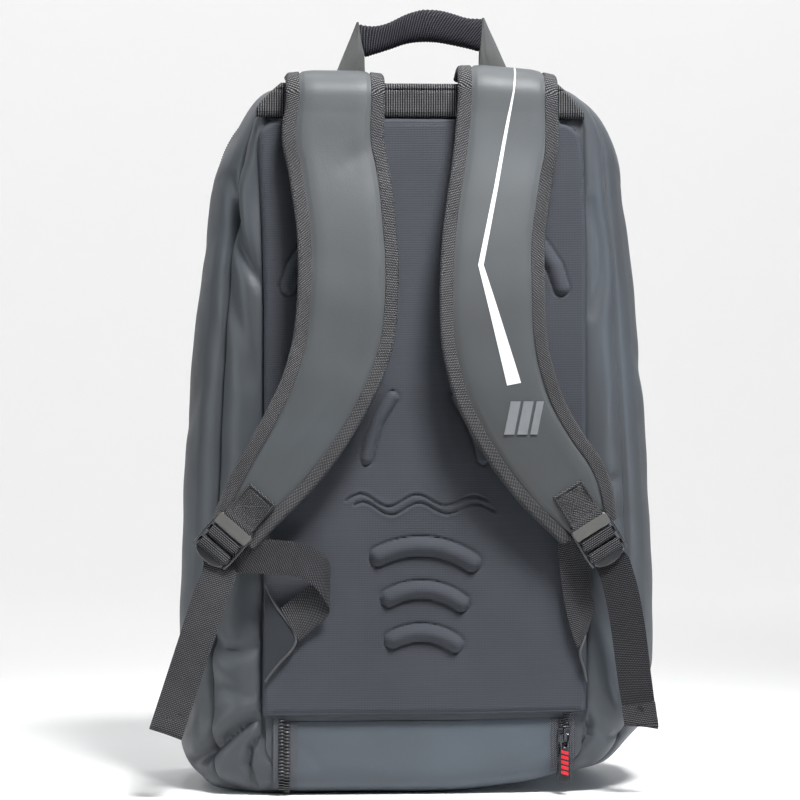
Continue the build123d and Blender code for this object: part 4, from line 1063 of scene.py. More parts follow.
def strap_body(word, left, right, creases):
    L, R, nn, t = strap_frame(left, right)
    n = len(L)
    w = np.linalg.norm(R - L, axis=1)
    wd = (R - L) / w[:, None]
    cut = np.ones(n)
    cut[:12] = 0.62 + 0.38 * smooth(np.linspace(0, 1, 12), 0, 1)      # flattened where it is sewn down
    na = 46
    a = np.linspace(0, 1, na)
    a = 0.5 - 0.5 * np.cos(np.pi * a) * (0.35 + 0.65 * np.abs(np.cos(np.pi * a)))
    a = (a - a[0]) / (a[-1] - a[0])
    rings = []
    for k in range(n):
        aa = (2.4 + a * (w[k] - 4.8)) / w[k]
        d = np.minimum(aa, 1 - aa) * w[k]
        th = (thickness(d) - 0.5 * (1 - smooth(d, 8.6, 9.6))) * cut[k]
        pos = L[k] + wd[k] * (aa * w[k])[:, None]
        x, z = pos[:, 0], pos[:, 2]
        bump = np.zeros(na)
        for line, dep, wid in creases:
            dist, al, sd, run = seg_dist(x, z, line)
            bump += 1.7 * dep * np.exp(-(dist / wid) ** 2) * np.sin(np.pi * np.clip((al + 6) / (run + 12), 0, 1)) * (d > 9)
        bump += 0.45 * wobble(pos, 0.05, 1.7) * smooth(d, 8, 14)
        seam = -1.0 * np.exp(-((d - 10.3) / 0.9) ** 2)
        up = 5.2 + th * 1.03 + (bump + seam)
        lo = 5.2 - th + 0.3 * np.exp(-((d - 8.4) / 0.9) ** 2)
        front = pos + nn[k] * up[:, None]
        back = (pos + nn[k] * lo[:, None])[::-1]
        ring = np.concatenate([front[1:-1], back])
        rings.append(ring)
    rings = np.array(rings)
    m = rings.shape[1]
    cols = [0 if j < na - 2 else 1 for j in range(m)]
    s = np.r_[0, np.cumsum(np.linalg.norm(np.diff((L + R) / 2, axis=0), axis=1))]
    per = np.r_[0, np.cumsum(np.linalg.norm(np.diff(rings[n // 2], axis=0), axis=1))]
    uv = np.stack(np.broadcast_arrays(per[None] / 1000, s[:, None] / 1000), -1)
    ob = tube(f"strap_body_{word}", rings, [M["strap"], M["mesh"]], uv=uv, sharp=70, fmat_cols=cols)
    fix_normals(ob)
    tree = BVHTree.FromPolygons([tuple(v.co) for v in ob.data.vertices], [tuple(p.vertices) for p in ob.data.polygons])
    finish_piece(ob, None, [f"strap_face_{word}", f"strap_foam_{word}", f"strap_lining_{word}"],
                 blend=("bag", f"strap_{word}", pt(0, -84, 520), pt(0, -100, 520)))
    # ribbed binding round both edges
    for tag, E, sgn in (("outer" if word == "left" else "inner", L, 1), ("inner" if word == "left" else "outer", R, -1)):
        rg = []
        for k in range(n):
            sec = []
            th = lambda d: float(thickness(d)) * cut[k]
            fw, bw = 9.6, 7.6
            for d in np.linspace(fw, 3.0, 9):
                edge = 0.55 if d < fw else 0.05
                sec.append((d, th(d) + 0.15 + edge))
            r0 = th(3.0) + 0.7
            for x in np.linspace(75, -75, 9):
                sec.append((3.0 - 3.5 * math.cos(math.radians(x)) * 1.0, r0 * math.sin(math.radians(x))))
            for d in np.linspace(3.0, bw, 6):
                edge = 0.55 if d < bw else 0.05
                sec.append((d, -th(d) - 0.1 - edge))
            inner_ = [(d, h - np.sign(h) * 1.1) for d, h in sec if d >= 3.0]
            inn = [(max(d, 3.0) if d >= 3.0 else d + 1.1, h * 0.8) for d, h in sec[::-1]]
            ring = np.array(sec + inn)
            rg.append(E[k] + sgn * wd[k] * ring[:, :1] + nn[k] * (5.2 + ring[:, 1:]))
        rg = np.array(rg)
        ns = 24
        per = np.r_[0, np.cumsum(np.linalg.norm(np.diff(rg[n // 2], axis=0), axis=1))]
        se = np.r_[0, np.cumsum(np.linalg.norm(np.diff(E, axis=0), axis=1))]
        uv = np.stack(np.broadcast_arrays(per[None] / 1000, se[:, None] / 1000), -1)
        o2 = tube(f"strap_binding_{word}_{tag}", rg, [M["bind"]], uv=uv, sharp=60)
        fix_normals(o2)
        finish_piece(o2, None, [f"strap_binding_{word}"], blend=("bag", f"strap_{word}", pt(0, -84, 520), pt(0, -100, 520)))
    return L, R, nn, wd, w, tree


CREASE_L = [([(-62, 300), (-84, 268), (-112, 240)], 0.7, 7.0), ([(-45, 330), (-58, 300), (-80, 262)], -0.6, 6.0), ([(-75, 350), (-88, 320), (-100, 292)], 0.5, 8.0), ([(-44, 470), (-60, 455)], -0.4, 7.0)]
CREASE_R = [([(28, 300), (46, 268), (74, 236)], -0.45, 6.0), ([(88, 282), (104, 252), (120, 228)], 0.4, 7.0)]
SL = strap_body("left", LEFT_OUT, LEFT_IN, CREASE_L)
SR = strap_body("right", RIGHT_IN, RIGHT_OUT, CREASE_R)


def drape(name, outline_rows, tree, mat, lift, body, slot, replaces=(), thick=0.5, flat=True):
    """A thin plate laid on the strap's face: rows of (x, z) points are dropped along +y."""
    g = []
    nn = []
    for row in outline_rows:
        q, qn = [], []
        for x, z in row:
            o = Vector(pt(x, -260, z))
            aim = Vector((0, 1, 0))
            if z >= 500:
                a_ = math.pi - math.asin(min((z - 506) / 23.8, 0.98))
                aim = Vector((0, -math.cos(a_), -math.sin(a_)))
                o = Vector(pt(x, -96, 506)) - aim * 0.06
            hit, nrm, i, dist = tree.ray_cast(o, aim)
            if hit is None:
                hit, nrm, i, dist = tree.find_nearest(Vector(pt(x, -120, z)))
            if nrm.dot(aim) > 0:
                nrm = -nrm
            q.append((hit.x * 1000, hit.y * 1000, hit.z * 1000 - DATUM))
            qn.append(tuple(nrm))
        g.append(q)
        nn.append(qn)
    g, nn = np.array(g), np.array(nn)
    ob = closed(name, g + nn * lift, g + nn * (lift - thick), [mat])
    fix_normals(ob)
    return ob


def strip_rows(line, widths, step=3.0):
    p = np.array([(x, z, w) for (x, z), w in zip(line, widths)], float)
    c = np.r_[0, np.cumsum(np.linalg.norm(np.diff(p[:, :2], axis=0), axis=1))]
    s = np.linspace(0, c[-1], max(int(c[-1] / step), 2))
    s = np.unique(np.r_[s, c])
    return np.stack([np.interp(s, c, p[:, k]) for k in range(3)], 1)


# white stripe on the right strap: left and right borders in x, z
sl = [(65.6, 528.8), (63.0, 512.0), (57.6, 487.7), (48.3, 441.3), (36.0, 385.0), (56.8, 297.5)]
sr = [(66.6, 528.8), (64.2, 512.0), (59.8, 487.7), (51.2, 441.3), (39.9, 385.0), (67.0, 299.5)]
rowsl = np.concatenate([np.stack([np.interp(np.linspace(0, 1, 90), [0, .12, .29, .61, 1], [a[i] for a in sl[:5]]) for i in (0, 1)], 1), np.stack([np.linspace(sl[4][i], sl[5][i], 16)[1:] for i in (0, 1)], 1)])
rowsr = np.concatenate([np.stack([np.interp(np.linspace(0, 1, 90), [0, .12, .29, .61, 1], [a[i] for a in sr[:5]]) for i in (0, 1)], 1), np.stack([np.linspace(sr[4][i], sr[5][i], 16)[1:] for i in (0, 1)], 1)])
rows = [[tuple(a + (b - a) * q) for q in np.linspace(0, 1, 5)] for a, b in zip(rowsl, rowsr)]
ob = drape("strap_stripe_right", rows, SR[5], M["stripe"], 0.4, None, None)
finish_piece(ob, "strap_right", ())
# a generic badge: three slanted bars
bars = []
for k, (x0, ln) in enumerate(((55.0, 9.5), (64.5, 9.5), (74.0, 7.5))):
    rows = []
    for q in np.linspace(0, 1, 8):
        z = 262.0 + 24.0 * q
        xs = x0 + 4.5 * q
        rows.append([(xs + (ln - 2.2) * r_, z) for r_ in np.linspace(0, 1, 5)])
    bars.append(drape(f"badge_{k}", rows, SR[5], M["badge"], 0.9, None, None, thick=1.2))
ob = join("strap_badge_right", bars)
finish_piece(ob, "strap_right", ())


# ---------------------------------------------------------------- ladder locks, tabs and threaded webbing
def frame_axes(o, d, n):
    d, n = unit(np.array(d)), unit(np.array(n))
    x = np.cross(d, n)
    return np.array(o, float), x, d, n


LOCKS = {
    "left": frame_axes((-137.58, -129.87, 198.47), (-0.6552, 0.0739, -0.7519), (-0.0453, -0.9973, -0.0585)),
    "right": frame_axes((116.04, -130.03, 199.51), (0.5314, 0.0798, -0.8434), (0.0338, -0.9968, -0.073)),
}


def bar_along(points, w, h, seg=2):
    """A bar of rectangular section with eased edges through points (local x, y, z), running mostly along y."""
    p, _ = path(points, 1.2)
    e = 0.32 * min(w, h)
    sec = []
    for sx, sz in ((1, 1), (-1, 1), (-1, -1), (1, -1)):
        a0 = {(1, 1): 0, (-1, 1): 90, (-1, -1): 180, (1, -1): 270}[(sx, sz)]
        for a in (a0, a0 + 30, a0 + 60, a0 + 90):
            sec.append((sx * (w / 2 - e) + e * math.cos(math.radians(a)), sz * (h / 2 - e) + e * math.sin(math.radians(a))))
    sec = np.array(sec)
    v = np.concatenate([np.stack([q[0] + sec[:, 0], np.full(len(sec), q[1]), q[2] + sec[:, 1]], 1) for q in p] + [p[:1], p[-1:]])
    m = len(sec)
    f = [tuple(x) for x in grid_faces(len(p), m, 0, close=True)]
    for j in range(m):
        f.append((len(v) - 2, (j + 1) % m, j))
        f.append((len(v) - 1, (len(p) - 1) * m + j, (len(p) - 1) * m + (j + 1) % m))
    return v, f


def plate_shape(x0, x1, y0, y1, z, thick, r, bow=0.0, nx=30, ny=12, tongue=False):
    """A thin plate with rounded corners and eased rim; tongue rounds its far end off completely."""
    s_ = np.linspace(-1, 1, nx)
    t_ = np.linspace(0, 1, ny)
    T, S = np.meshgrid(t_, s_, indexing="ij")
    Y = y0 + (y1 - y0) * T
    half = (x1 - x0) / 2
    if tongue:
        hw = half * np.sqrt(np.maximum(1 - (np.clip((T - 0.1) / 0.9, 0, 1)) ** 2.2, 0.0)) + 0.02
    else:
        v = np.minimum(Y - y0, (y1 - Y) + r)
        hw = half - np.where(v < r, r - np.sqrt(np.maximum(r * r - (r - v) ** 2, 0)), 0)
    X = S * hw
    d = np.minimum(np.minimum(hw - np.abs(X), Y - y0), y1 - Y)
    ez = 0.5 * thick * (0.35 + 0.65 * np.sqrt(np.clip(1 - (1 - np.clip(d / 1.0, 0, 1)) ** 2, 0, 1)))
    c = z + bow * (1 - (X / half) ** 2)
    top = np.stack([X, Y, c + ez], -1)
    bot = np.stack([X, Y, c - ez], -1)
    n_, m_ = top.shape[:2]
    f = list(map(tuple, grid_faces(n_, m_, 0))) + list(map(tuple, grid_faces(n_, m_, n_ * m_, True)))
    ring = [(0, j) for j in range(m_)] + [(i, m_ - 1) for i in range(1, n_)] + [(n_ - 1, j) for j in range(m_ - 2, -1, -1)] + [(i, 0) for i in range(n_ - 2, 0, -1)]
    for (a_, b_), (c_, d_) in zip(ring, ring[1:] + ring[:1]):
        p_, q_ = a_ * m_ + b_, c_ * m_ + d_
        f.append((q_, p_, p_ + n_ * m_, q_ + n_ * m_))
    return np.concatenate([top.reshape(-1, 3), bot.reshape(-1, 3)]), f


def lock(word):
    o, x, d, n = LOCKS[word]
    parts = []
    for s in (-1, 1):
        parts.append(bar_along([(s * 14.0, 1.8, 0.3), (s * 14.6, 8.0, 0.5), (s * 15.0, 18.0, 0.4), (s * 14.9, 27.0, -0.5), (s * 14.2, 33.0, -1.9)], 1.7, 3.4))
    parts.append(rod([(-13.6, 0.6, -0.2), (13.6, 0.6, -0.2)], 1.7, 16))
    parts.append(bevel_box((28.0, 5.4, 1.8), (0, 16.2, -0.7), 0.7, 3))
    parts.append(bevel_box((28.0, 4.8, 1.8), (0, 27.0, -0.9), 0.7, 3))
    parts.append(plate_shape(-12.6, 12.6, 30.2, 37.4, -1.6, 1.7, 3, bow=0.5, tongue=True))
    v, f = merge(parts)
    ob = make(f"lock_{word}", place(v, o, x, d, n), f, [M["buckle"]], sharp=45)
    fix_normals(ob)
    finish_piece(ob, f"buckle_{word}", [f"ladder_lock_{word}"])
    # top plate in the lighter buckle plastic, which is painted reflection
    v, f = plate_shape(-15.3, 15.3, 1.2, 10.6, 1.3, 1.9, 3.4, bow=0.5)
    ob = make(f"lock_plate_{word}", place(v, o, x, d, n), f, [M["buckle_plate_painted_reflection"]], sharp=45)
    fix_normals(ob)
    finish_piece(ob, f"buckle_{word}", [])
    # tab: two layers over the bar, stitched to the strap
    prof = [(-25.0, -3.4), (-20.0, -3.2), (-10.0, -2.6), (-4.0, -1.2), (-1.0, 1.6), (1.0, 2.2), (2.9, 0.6), (2.2, -1.9), (-1.0, -3.3), (-8.0, -3.6)]
    c = [place(np.array([0, a, b]), o, x, d, n) for a, b in prof]
    ob = band(f"tab_loop_{word}", c, [x] * len(c), 24.6, 1.3, M["patch"], step=0.8)
    finish_piece(ob, f"strap_{word}", [f"strap_tab_{word}"])
    # flat patch with a stitched square and a folded corner
    nx, ny = 44, 44
    X, Y = np.meshgrid(np.linspace(-12.6, 12.6, nx), np.linspace(-27.0, -1.0, ny))
    Zt = -1.8 + 2.6 * smooth(Y, -11, -1) + 0.25 * np.sin(X * 0.4 + Y * 0.3)
    din = np.minimum(np.minimum(12.6 - np.abs(X), Y + 27.0), 4 - Y)
    Zt -= 1.3 * (1 - smooth(din, 0, 1.1))
    Zt += 0.55 * np.exp(-((din - 1.2) / 0.6) ** 2) * (Y < -8)
    Zt -= 0.55 * np.exp(-((din - 2.9) / 0.5) ** 2)
    Zt -= 0.35 * np.exp(-((np.abs(X) / 9.6 - np.abs((Y + 15.1) / 8.1)) / 0.06) ** 2) * (np.abs(X) < 9.6) * (np.abs(Y + 15.1) < 8.1)
    u_, v_ = (X + 12.6) / 25.2, (Y + 26) / 22.5
    loc = np.stack([X, Y, Zt], -1)
    lob = np.stack([X, Y, Zt * 0 - 3.9], -1)
    ob = closed(f"tab_patch_{word}", place(loc, o, x, d, n), place(lob, o, x, d, n), [M["patch"]], uv=np.stack([X, Y], -1) / 1000, sharp=60)
    fix_normals(ob)
    finish_piece(ob, f"strap_{word}", [])
    # stitches: a square with a cross, small raised threads
    st = []
    def stitch(a, b, pitch=2.6, ln=1.8):
        a, b = np.array(a, float), np.array(b, float)
        L_ = np.linalg.norm(b - a)
        k = int(L_ // pitch)
        for i in range(k):
            p0 = a + (b - a) * (i * pitch + 0.4) / L_
            p1 = a + (b - a) * (i * pitch + 0.4 + ln) / L_
            z0 = -1.75 + 2.6 * float(smooth(p0[1], -11, -1))
            z1 = -1.75 + 2.6 * float(smooth(p1[1], -11, -1))
            st.append(rod([(p0[0], p0[1], z0 - 0.25), (p0[0] * .75 + p1[0] * .25, p0[1] * .75 + p1[1] * .25, z0 + 0.05), (p0[0] * .25 + p1[0] * .75, p0[1] * .25 + p1[1] * .75, z1 + 0.05), (p1[0], p1[1], z1 - 0.25)], 0.28, 6))
    q = [(-9.6, -23.2), (9.6, -23.2), (9.6, -7.0), (-9.6, -7.0)]
    for a, b in zip(q, q[1:] + q[:1]):
        stitch(a, b)
    stitch(q[0], q[2])
    stitch(q[1], q[3])
    v, f = merge(st)
    ob = make(f"tab_stitches_{word}", place(v, o, x, d, n), f, [M["thread"]], sharp=60)
    finish_piece(ob, f"strap_{word}", [])


for word in ("left", "right"):
    lock(word)


def threaded(word):
    o, x, d, n = LOCKS[word]
    pts = [(23.5, -5.9), (18.5, -5.0), (14.6, -4.3), (12.4, -2.4), (12.3, 0.1), (13.6, 1.2), (16.2, 1.45), (19.2, 1.1), (20.6, -0.6), (22.0, -2.6), (23.2, -0.6), (24.8, 1.0), (27.3, 1.2), (29.6, 0.6), (31.0, -0.9), (31.0, -2.6), (30.0, -3.6)]
    c = [place(np.array([0, a, b]), o, x, d, n) for a, b in pts]
    ob = band(f"web_threaded_{word}", c, [x] * len(c), 25.0, 1.2, M["web"], step=0.5)
    finish_piece(ob, f"buckle_{word}", [f"threaded_webbing_{word}"])


threaded("left")
threaded("right")

TAILS = {
    "left": ([(-151, -123, 165), (-157.5, -123.5, 146), (-168.5, -122.5, 112), (-179.5, -120, 78), (-190.4, -116.5, 44.4)],
             [(0.95, 0, -0.31), (0.95, 0, -0.31), (0.95, 0, -0.31), (0.94, 0.05, -0.33), (0.93, 0.05, -0.36)]),
    "right": ([(138.4, -122.6, 162), (143, -123, 145), (147.5, -121.5, 122), (153, -117.5, 84), (158.8, -114.5, 47)],
              [(0.97, -0.1, 0.22), (0.97, -0.15, 0.17), (0.97, -0.15, 0.12), (0.98, -0.1, 0.0), (0.98, -0.05, -0.17)]),
}


def tail(word):
    o, x, d, n = LOCKS[word]
    pts, wds = TAILS[word]
    c, w = np.array(pts, float), unit(np.array(wds, float))
    E1, E2 = list(c - w * 12.5), list(c + w * 12.5)
    sg = 9.5 if np.dot(x, w[0]) < 0 else -9.5
    a1, a2 = place(np.array([sg, 28.5, -3.4]), o, x, d, n), place(np.array([-sg, 28.5, -3.4]), o, x, d, n)
    mid1, mid2 = a1 * 0.45 + E1[0] * 0.55, a2 * 0.45 + E2[0] * 0.55
    mid1[1] += 1.2
    mid2[1] += 1.2
    if word == "left":
        mid1[0] -= 0.8
        mid2[0] += 1.5
    else:
        mid1[0] -= 0.8
        mid2[0] += 2.6
    # the right tail takes the darker webbing copy, which is painted shade
    ob = folded_band(f"web_tail_{word}", [a1, mid1] + E1, [a2, mid2] + E2, 1.3, M["web" if word == "left" else "web_painted_shade"], step=1.0, puff=0.5)
    finish_piece(ob, None, [f"webbing_tail_{word}"], blend=(f"buckle_{word}", f"tail_{word}", tuple(met((a1 + a2) / 2)), tuple(met(c[0] * 0.7 + c[1] * 0.3))))
    # folded hem
    e0, e1 = np.array(pts[-2], float), np.array(pts[-1], float)
    t = unit(e1 - e0)
    wv = unit(np.array(wds[-1], float))
    nv = unit(np.cross(wv, t))
    if nv[1] > 0:
        nv = -nv
    hem = [e1 - t * 17 + nv * 0.9, e1 - t * 9 + nv * 1.15, e1 - t * 0.8 + nv * 1.0, e1 + t * 0.3]
    ob = band(f"web_hem_{word}", hem, [wds[-1]] * 4, 25.0, 1.2, M["web"], curve=0.35, step=0.8)
    finish_piece(ob, f"tail_{word}", [])


tail("left")
tail("right")


def lower_web():
    T = [(-125.3, 181.9, -120.5), (-115.2, 185.2, -121.5), (-99.0, 184.2, -121.5), (-86.3, 180.8, -120.3), (-77.0, 175.9, -118.0), (-72.4, 170.7, -115.5), (-70.6, 165.5, -112.8), (-73.4, 160.9, -110.9), (-82.2, 154.4, -109.2), (-92.9, 145.6, -107.9), (-106.4, 134.6, -107.2)]
    B = [(-135.3, 160.9, -118.5), (-124.1, 160.6, -120.2), (-106.8, 160.0, -120.8), (-94.7, 158.0, -120.0), (-83.4, 151.8, -118.0), (-75.7, 142.1, -115.6), (-70.9, 132.5, -112.8), (-72.0, 128.8, -110.9), (-77.4, 123.6, -109.2), (-84.4, 117.7, -107.9), (-92.6, 110.6, -107.2)]
    T, B = [(x, y, z) for x, z, y in T], [(x, y, z) for x, z, y in B]
    a = folded_band("web_lower_left", T, B, 1.3, M["web"], puff=0.5)
    finish_piece(a, None, ["lower_webbing_left"], blend=("bag", "strap_left", pt(-90, -107, 150), pt(-131, -111, 171)))
    o, x, d, n = LOCKS["left"]
    e1, e2 = place(np.array([12.5, 21.0, -5.6]), o, x, d, n), place(np.array([-12.5, 21.0, -5.6]), o, x, d, n)
    f1, f2 = place(np.array([12.5, 29.0, -6.9]), o, x, d, n), place(np.array([-12.5, 27.0, -6.6]), o, x, d, n)
    T2 = [T[0], (-138.0, -117.8, 178.5), (-149.0, -116.3, 182.5), (-156.0, -116.6, 184.5), (-159.0, -118.2, 185.5), tuple(f1 * 0.5 + e1 * 0.5), tuple(e1)]
    B2 = [B[0], (-143.0, -116.4, 162.0), (-147.5, -115.8, 163.0), (-150.0, -116.4, 165.0), (-150.5, -118.0, 167.0), tuple(f2 * 0.5 + e2 * 0.5), tuple(e2)]
    b = folded_band("web_link_left", T2, B2, 1.25, M["web"])
    finish_piece(b, None, [], blend=("strap_left", "buckle_left", pt(-138, -118, 172), pt(-155, -118, 178)))
    # the right-hand run turns edge-on where it is sewn to its wing
    L = [(97.6, -112.5, 186.0), (97.4, -112.0, 181.5), (98.5, -111.5, 165.5), (100.2, -111.0, 151.5), (103.6, -110.5, 131.8), (108.0, -109.8, 114.9), (112.0, -108.8, 104.0)]
    R = [(120.9, -112.5, 186.0), (121.1, -112.0, 176.0), (121.2, -110.2, 164.0), (120.6, -112.0, 151.0), (124.8, -107.5, 135.0), (121.4, -106.4, 121.0), (117.2, -106.2, 108.5)]
    a = folded_band("web_lower_right", L, R, 1.3, M["web"], step=0.8)
    finish_piece(a, None, ["lower_webbing_right"], blend=("bag", "strap_right", pt(116, -108, 118), pt(109.5, -112, 172)))
    o, x, d, n = LOCKS["right"]
    e1, e2 = place(np.array([9.5, 21.0, -5.8]), o, x, d, n), place(np.array([-9.5, 21.0, -5.8]), o, x, d, n)
    L2 = [L[0], (99.5, -112.6, 190.5), (106.0, -114.0, 191.5), (113.0, -116.5, 186.0), tuple(e1)]
    R2 = [R[0], (122.5, -113.0, 189.5), (126.5, -115.0, 192.0), (131.0, -118.0, 191.5), tuple(e2)]
    b = folded_band("web_link_right", L2, R2, 1.2, M["web"])
    finish_piece(b, None, [], blend=("strap_right", "buckle_right", pt(108, -113, 189), pt(124, -119, 184)))


lower_web()


# ---------------------------------------------------------------- wings that hold the lower webbing
def wing(word):
    if word == "left":
        a, b, c = np.array((-117.8, -104.4, 152.0)), np.array((-117.8, -104.4, 80.5)), np.array((-94.6, -105.6, 110.0))
    else:
        a, b, c = np.array((118.6, -104.2, 117.0)), np.array((118.6, -103.8, 79.0)), np.array((112.9, -108.6, 101.0))
    n_ = 26
    g, h = [], []
    for i in range(n_):
        v = i / (n_ - 1)
        base = a + (b - a) * v
        tip = a + (c - a) * min(2 * v, 1) if v < 0.5 else c + (b - c) * (2 * v - 1)
        row = [base + (tip - base) * u for u in np.linspace(0, 1, 14)]
        g.append(row)
    g = np.array(g)
    nrm = unit(np.cross(b - a, c - a))
    if nrm[1] > 0:
        nrm = -nrm
    puff = np.sin(np.pi * np.linspace(0, 1, n_))[:, None] * np.sin(np.pi * np.linspace(0, 1, 14) * 0.8)[None]
    f = g + nrm * (1.0 + 0.7 * puff)[..., None]
    bk = g - nrm * 0.9
    ob = closed(f"wing_{word}", f, bk, [M["fold"]])
    fix_normals(ob)
    finish_piece(ob, "bag", [f"webbing_wing_{word}"])
    line = [a + nrm * 1.1, (a * 0.5 + c * 0.5) + nrm * 1.7, c * 0.97 + a * 0.015 + b * 0.015 + nrm * 1.5, (c * 0.5 + b * 0.5) + nrm * 1.7, b + nrm * 1.1]
    v, fc = rod(line, 0.9, 8, step=1.5)
    ob = make(f"wing_edge_{word}", v, fc, [M["thread"]], sharp=60)
    finish_piece(ob, "bag", [])


wing("left")
wing("right")


# ---------------------------------------------------------------- carry handle
def handle():
    hy, hz = -70.0, 523.0
    T = np.array([(-47.6, 567.5), (-37.2, 565.9), (-25.2, 568.3), (-13.3, 574.0), (-1.3, 578.0), (4.7, 578.5), (13.7, 578.1), (25.7, 575.0), (34.7, 572.4), (45.4, 571.9)])
    B = np.array([(-42.6, 542.6), (-34.2, 545.3), (-22.2, 549.3), (-10.3, 553.3), (1.7, 554.6), (7.0, 554.5), (13.7, 553.9), (25.7, 551.6), (34.7, 549.7), (43.1, 547.4)])
    n_ = 120
    s = np.linspace(0, 9, n_)
    t2, b2 = spline(np.arange(10.0), T, s), spline(np.arange(10.0), B, s)
    rings = []
    na = 60
    a = np.linspace(0, 2 * np.pi, na, endpoint=False)
    sq = (np.abs(np.cos(a)) ** 2.8 + np.abs(np.sin(a)) ** 2.8) ** (-1 / 2.8)
    for k in range(n_):
        e = min(s[k], 9 - s[k])
        end = 0.90 + 0.10 * math.sqrt(max(1 - (1 - min(e / 0.25, 1)) ** 2, 0))
        ry = (5.6 + 1.8 * float(smooth(e, 0, 1.6))) * end
        c, h = (t2[k] + b2[k]) / 2, (t2[k] - b2[k]) / 2 * end
        pinch = 1 - 0.10 * math.exp(-((s[k] - 1.3) / 0.7) ** 2)
        u_ = sq * np.sin(a)
        rings.append(np.stack([c[0] + h[0] * u_, hy + ry * pinch * sq * np.cos(a), c[1] + h[1] * u_], 1))
    rings = np.array(rings)
    L = np.r_[0, np.cumsum(np.linalg.norm(np.diff(rings.mean(1), axis=0), axis=1))]
    per = np.linspace(0, 0.06, na)
    uv = np.stack(np.broadcast_arrays(per[None], L[:, None] / 1000), -1).copy()
    lean = np.interp(s, [0, 3, 5, 9], [0.30, 0.12, -0.04, -0.22])[:, None]
    uv[..., 1] += lean * (rings[..., 2] - (t2[:, 1:] + b2[:, 1:]) / 2) / 1000
    ph = uv[..., 1] * 1000 / 2.6 * 2 * np.pi
    nv = unit(rings - rings.mean(1, keepdims=True))
    rings = rings + nv * (0.26 * np.cos(ph) + 0.35 * wobble(rings, 0.09, 1.1))[..., None]
    ob = tube("grip", rings, [M["grip"]], uv=uv, sharp=75)
    fix_normals(ob)
    finish_piece(ob, "handle", ["handle_grip"])
    for sd, word in ((-1, "left"), (1, "right")):
        # folded webbing: its fold meets the grip's upper corner and it opens towards the bag
        if sd < 0:
            prof = np.array([(-0.6, 67.2, 41.6), (9.0, 63.6, 42.6), (20.0, 59.2, 43.0), (28.0, 55.9, 44.2), (36.0, 52.6, 45.6), (42.0, 50.2, 46.8), (45.4, 48.9, 47.4)])
        else:
            prof = np.array([(-0.6, 68.8, 41.8), (10.0, 64.6, 42.8), (20.0, 60.2, 43.0), (28.0, 56.6, 43.4), (38.0, 52.0, 44.0), (45.0, 48.8, 44.6), (49.4, 46.9, 45.2)])
        zz = np.linspace(-0.6, prof[-1, 0], 70)
        xo, xi = mono(prof[:, 0], prof[:, 1], zz), mono(prof[:, 0], prof[:, 2], zz)
        v = np.linspace(0, 1, 21)
        X = sd * (xo[:, None] + (xi - xo)[:, None] * v[None])
        Z = np.repeat(zz[:, None], 21, 1) + hz
        open_ = smooth(zz, 0, 26)[:, None]
        yb = -1.6 - 2.6 * np.sin(np.pi * np.clip(v, 0, 1))[None] ** 0.7 * open_ - 2.2 * smooth(v, 0.35, 1.0)[None] * open_
        yb += 0.5 * np.exp(-((v[None] - 0.55 - 0.25 * open_) / 0.07) ** 2) * open_
        f = np.stack([X, hy + yb, Z], -1)
        back = 1.6 + 3.4 * np.sin(np.pi * v)[None] ** 0.7 * open_ + 2.2 * smooth(v, 0.35, 1.0)[None] * open_
        b = np.stack([X, hy + back, Z], -1)
        ob = closed(f"handle_leg_{word}", f, b, [M["leg"]], sharp=60)
        fix_normals(ob)
        finish_piece(ob, None, ["handle_webbing"], blend=("bag", "handle", pt(0, hy, hz), pt(0, hy, hz + 12)))


handle()


# ---------------------------------------------------------------- shoe compartment flap
def shoe_flap():
    prof = np.array([(-95.0, 50.0), (-95.0, 34.0), (-95.0, 18.0), (-93.4, 9.6), (-90.2, 4.0), (-86.0, 0.4), (-82.2, -1.4)])
    p, s = path(prof, 1.0)
    t = unit(np.gradient(p, axis=0))
    n = np.stack([t[:, 1], -t[:, 0]], 1)
    if n[0, 0] > 0:
        n = -n
    nx = 150
    X = np.linspace(-103, 103, nx)
    e = np.minimum(X + 103, 103 - X)[None]
    se = np.minimum(s, 60)[:, None]
    h = 0.3 + 1.3 * (1 - np.exp(-e / 8.0)) * (1 - np.exp(-se / 5.0))
    P = np.zeros((len(p), nx, 3))
    P[..., 0] = X[None]
    P[..., 1] = p[:, :1]
    P[..., 2] = p[:, 1:]
    N = np.zeros_like(P)
    N[..., 1] = n[:, :1]
    N[..., 2] = n[:, 1:]
    xz = np.stack([P[..., 0], 0 * P[..., 0], P[..., 2]], -1)
    h = h + 0.35 * wobble(xz, 0.06, 0.4) * (1 - np.exp(-e / 10.0))
    for line, dep, wid in (([(-100, 12), (-70, 20), (-30, 14)], 0.5, 6.0), ([(100, 30), (80, 18), (60, 10)], -0.6, 5.0), ([(-102, 36), (-88, 30), (-78, 18)], -0.6, 5.0)):
        dist, al, sd, run = seg_dist(P[..., 0], P[..., 2], line)
        h = h + dep * np.exp(-(dist / wid) ** 2)
    F = P + N * h[..., None]
    B = P - N * 2.6
    # the flap takes the lighter door copy of the shell cloth, which is painted light
    ob = closed("flap_shoe", F, B, [M["door"], M["lining"]])
    fix_normals(ob)
    finish_piece(ob, "shoe_flap", ["shoe_flap"])


shoe_flap()


# ---------------------------------------------------------------- zips
def tooth_block(size, bevel):
    v, f = bevel_box(size, (0, 0, 0), bevel, 1)
    return v, f


def chain(name, pts, tangents, normals_, sides, size, body, replaces, pitch=2.0, bevel=0.35):
    """Teeth along a line: pts lie at the tooth's foot, sides point across the chain."""
    tv, tf = tooth_block(size, bevel)
    parts = []
    for p, t, n, s in zip(pts, tangents, normals_, sides):
        parts.append((p + tv[:, :1] * t + tv[:, 1:2] * s + tv[:, 2:3] * n, tf))
    v, f = merge(parts)
    ob = make(name, v, f, [M["teeth"]], sharp=40)
    fix_normals(ob)
    finish_piece(ob, body, replaces)
    return ob


